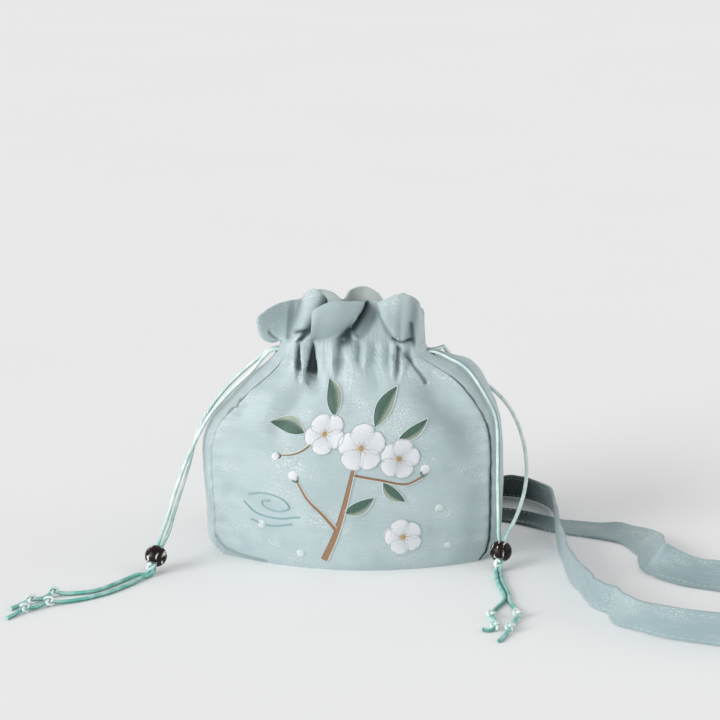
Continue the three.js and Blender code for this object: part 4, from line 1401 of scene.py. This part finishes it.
def strap_stitching():
    """Running stitches near both edges of the strap, which dip into the cloth between them."""
    bm = bmesh.new()
    thread = bm.loops.layers.uv.new("thread")
    shade = bm.verts.layers.float.new("shade")
    for edge_side in (-1, 1):
        for face_side in (-1, 1):
            steps = STITCHES * STITCH_STEPS
            made = bmesh.ops.create_grid(bm, x_segments=steps, y_segments=2, size=0.5)["verts"]
            flat = np.array([v.co for v in made])
            along = flat[:, 0] + 0.5
            beside = edge_side * (STRAP_WIDTH / 2 - STITCH_IN) + flat[:, 1] * STITCH_WIDE
            arch = np.sin(2 * np.pi * STITCHES * along)
            round_top = 1 - (2 * flat[:, 1])**2
            proud = STITCH_RAISED * np.minimum(arch + STITCH_PART, 1) * round_top
            out = STRAP_THICK / 2 + np.where(arch > -STITCH_PART, proud, -STITCH_SUNK)
            points = strap_point(along * STRAP_END, beside, face_side * out)
            for vert, point in zip(made, points):
                vert.co = point * MM
                vert[shade] = 0.5
            for loop in {loop for vert in made for loop in vert.link_loops}:
                loop[thread].uv = loop.vert.co.xy
    piece = mesh_piece("strap_stitching", bm)
    finish = embroidery_thread("strap thread", tone(150, 172, 174), tone(196, 210, 210), 0.6)
    add_piece(piece, finish, "seam_thread")


def strap_cloth():
    """The whole strap, as one cloth band."""
    bm = bmesh.new()
    cloth = bm.loops.layers.uv.new("cloth")
    painted_shade = bm.verts.layers.float.new("painted_shade")
    bmesh.ops.create_grid(bm, x_segments=STRAP_STEPS, y_segments=STRAP_COLUMNS, size=0.5)
    bmesh.ops.translate(bm, verts=bm.verts, vec=(0.5, 0, 0))
    flat = np.array([v.co for v in bm.verts])
    station = flat[:, 0] * STRAP_END
    beside = flat[:, 1] * STRAP_WIDTH
    points = strap_point(station, beside)
    # Painted shadow of the bag, from where the strap lies
    painted_bag_shadow = (1 - smoothstep(points[:, 0], *SHADE_ENDS)) * smoothstep(points[:, 0], *SHADE_STARTS)
    painted_bag_shadow = painted_bag_shadow * smoothstep(points[:, 1], *SHADE_BACK)
    length = strap_length()
    for face in bm.faces:
        for loop in face.loops:
            at = loop.vert.co
            loop[cloth].uv = (at.x * length, at.y * STRAP_WIDTH * MM)
    for vert, point, deep in zip(bm.verts, points, painted_bag_shadow):
        vert.co = point * MM
        vert[painted_shade] = deep * STRAP_SHADE
    bmesh.ops.reverse_faces(bm, faces=bm.faces)
    piece = mesh_piece("shoulder_strap_cloth", bm)
    wall = piece.modifiers.new("wall", "SOLIDIFY")
    wall.thickness = STRAP_THICK * MM
    wall.offset = 0
    add_piece(piece, STRAP_CLOTH, "strap_cloth", "shoulder_strap")


strap_cloth()
strap_stitching()


# Floor and light


FLOOR_SIZE = 16.0
SKY = 0.58

# Lights: where each comes from, its strength and its spread in degrees
LIGHTS = {
    "key": ((-1.85, -1.3, 0.9), 1.7, 34),
    "low front": ((-1.1, -1.7, 0.16), 0.55, 40),
    "fill": ((1.5, 0.15, 0.3), 0.6, 60),
}


def pale_floor():
    """The plain floor that the bag stands on."""
    bm = bmesh.new()
    bmesh.ops.create_grid(bm, x_segments=8, y_segments=8, size=FLOOR_SIZE / 2)
    piece = mesh_piece("floor", bm)
    made = Finish("pale floor", Specular_IOR_Level=0.2)
    cloudy = made.noise(made.place(source="Object"), 3, 2)
    colour = made.mix(cloudy, tone(250, 250, 251), tone(253, 253, 253))
    piece.data.materials.append(made.finish(Base_Color=colour, Roughness=0.8))


def broad_light(name, source, strength, spread):
    """Even light from one side, as soft as its spread in degrees."""
    data = bpy.data.lights.new(name, "SUN")
    data.energy = strength
    data.angle = math.radians(spread)
    lamp = bpy.data.objects.new(name, data)
    lamp.location = source
    lamp.rotation_euler = (-Vector(source)).to_track_quat("-Z", "Y").to_euler()
    bpy.context.scene.collection.objects.link(lamp)


def studio():
    """White surroundings and the lights."""
    scene = bpy.context.scene
    scene.view_settings.view_transform = "Standard"
    world = bpy.data.worlds.new("studio")
    world.use_nodes = True
    sky = world.node_tree.nodes["Background"].inputs
    sky["Color"].default_value = (1, 1, 1, 1)
    sky["Strength"].default_value = SKY
    scene.world = world
    for name, (source, strength, spread) in LIGHTS.items():
        broad_light(name, source, strength, spread)


pale_floor()
studio()
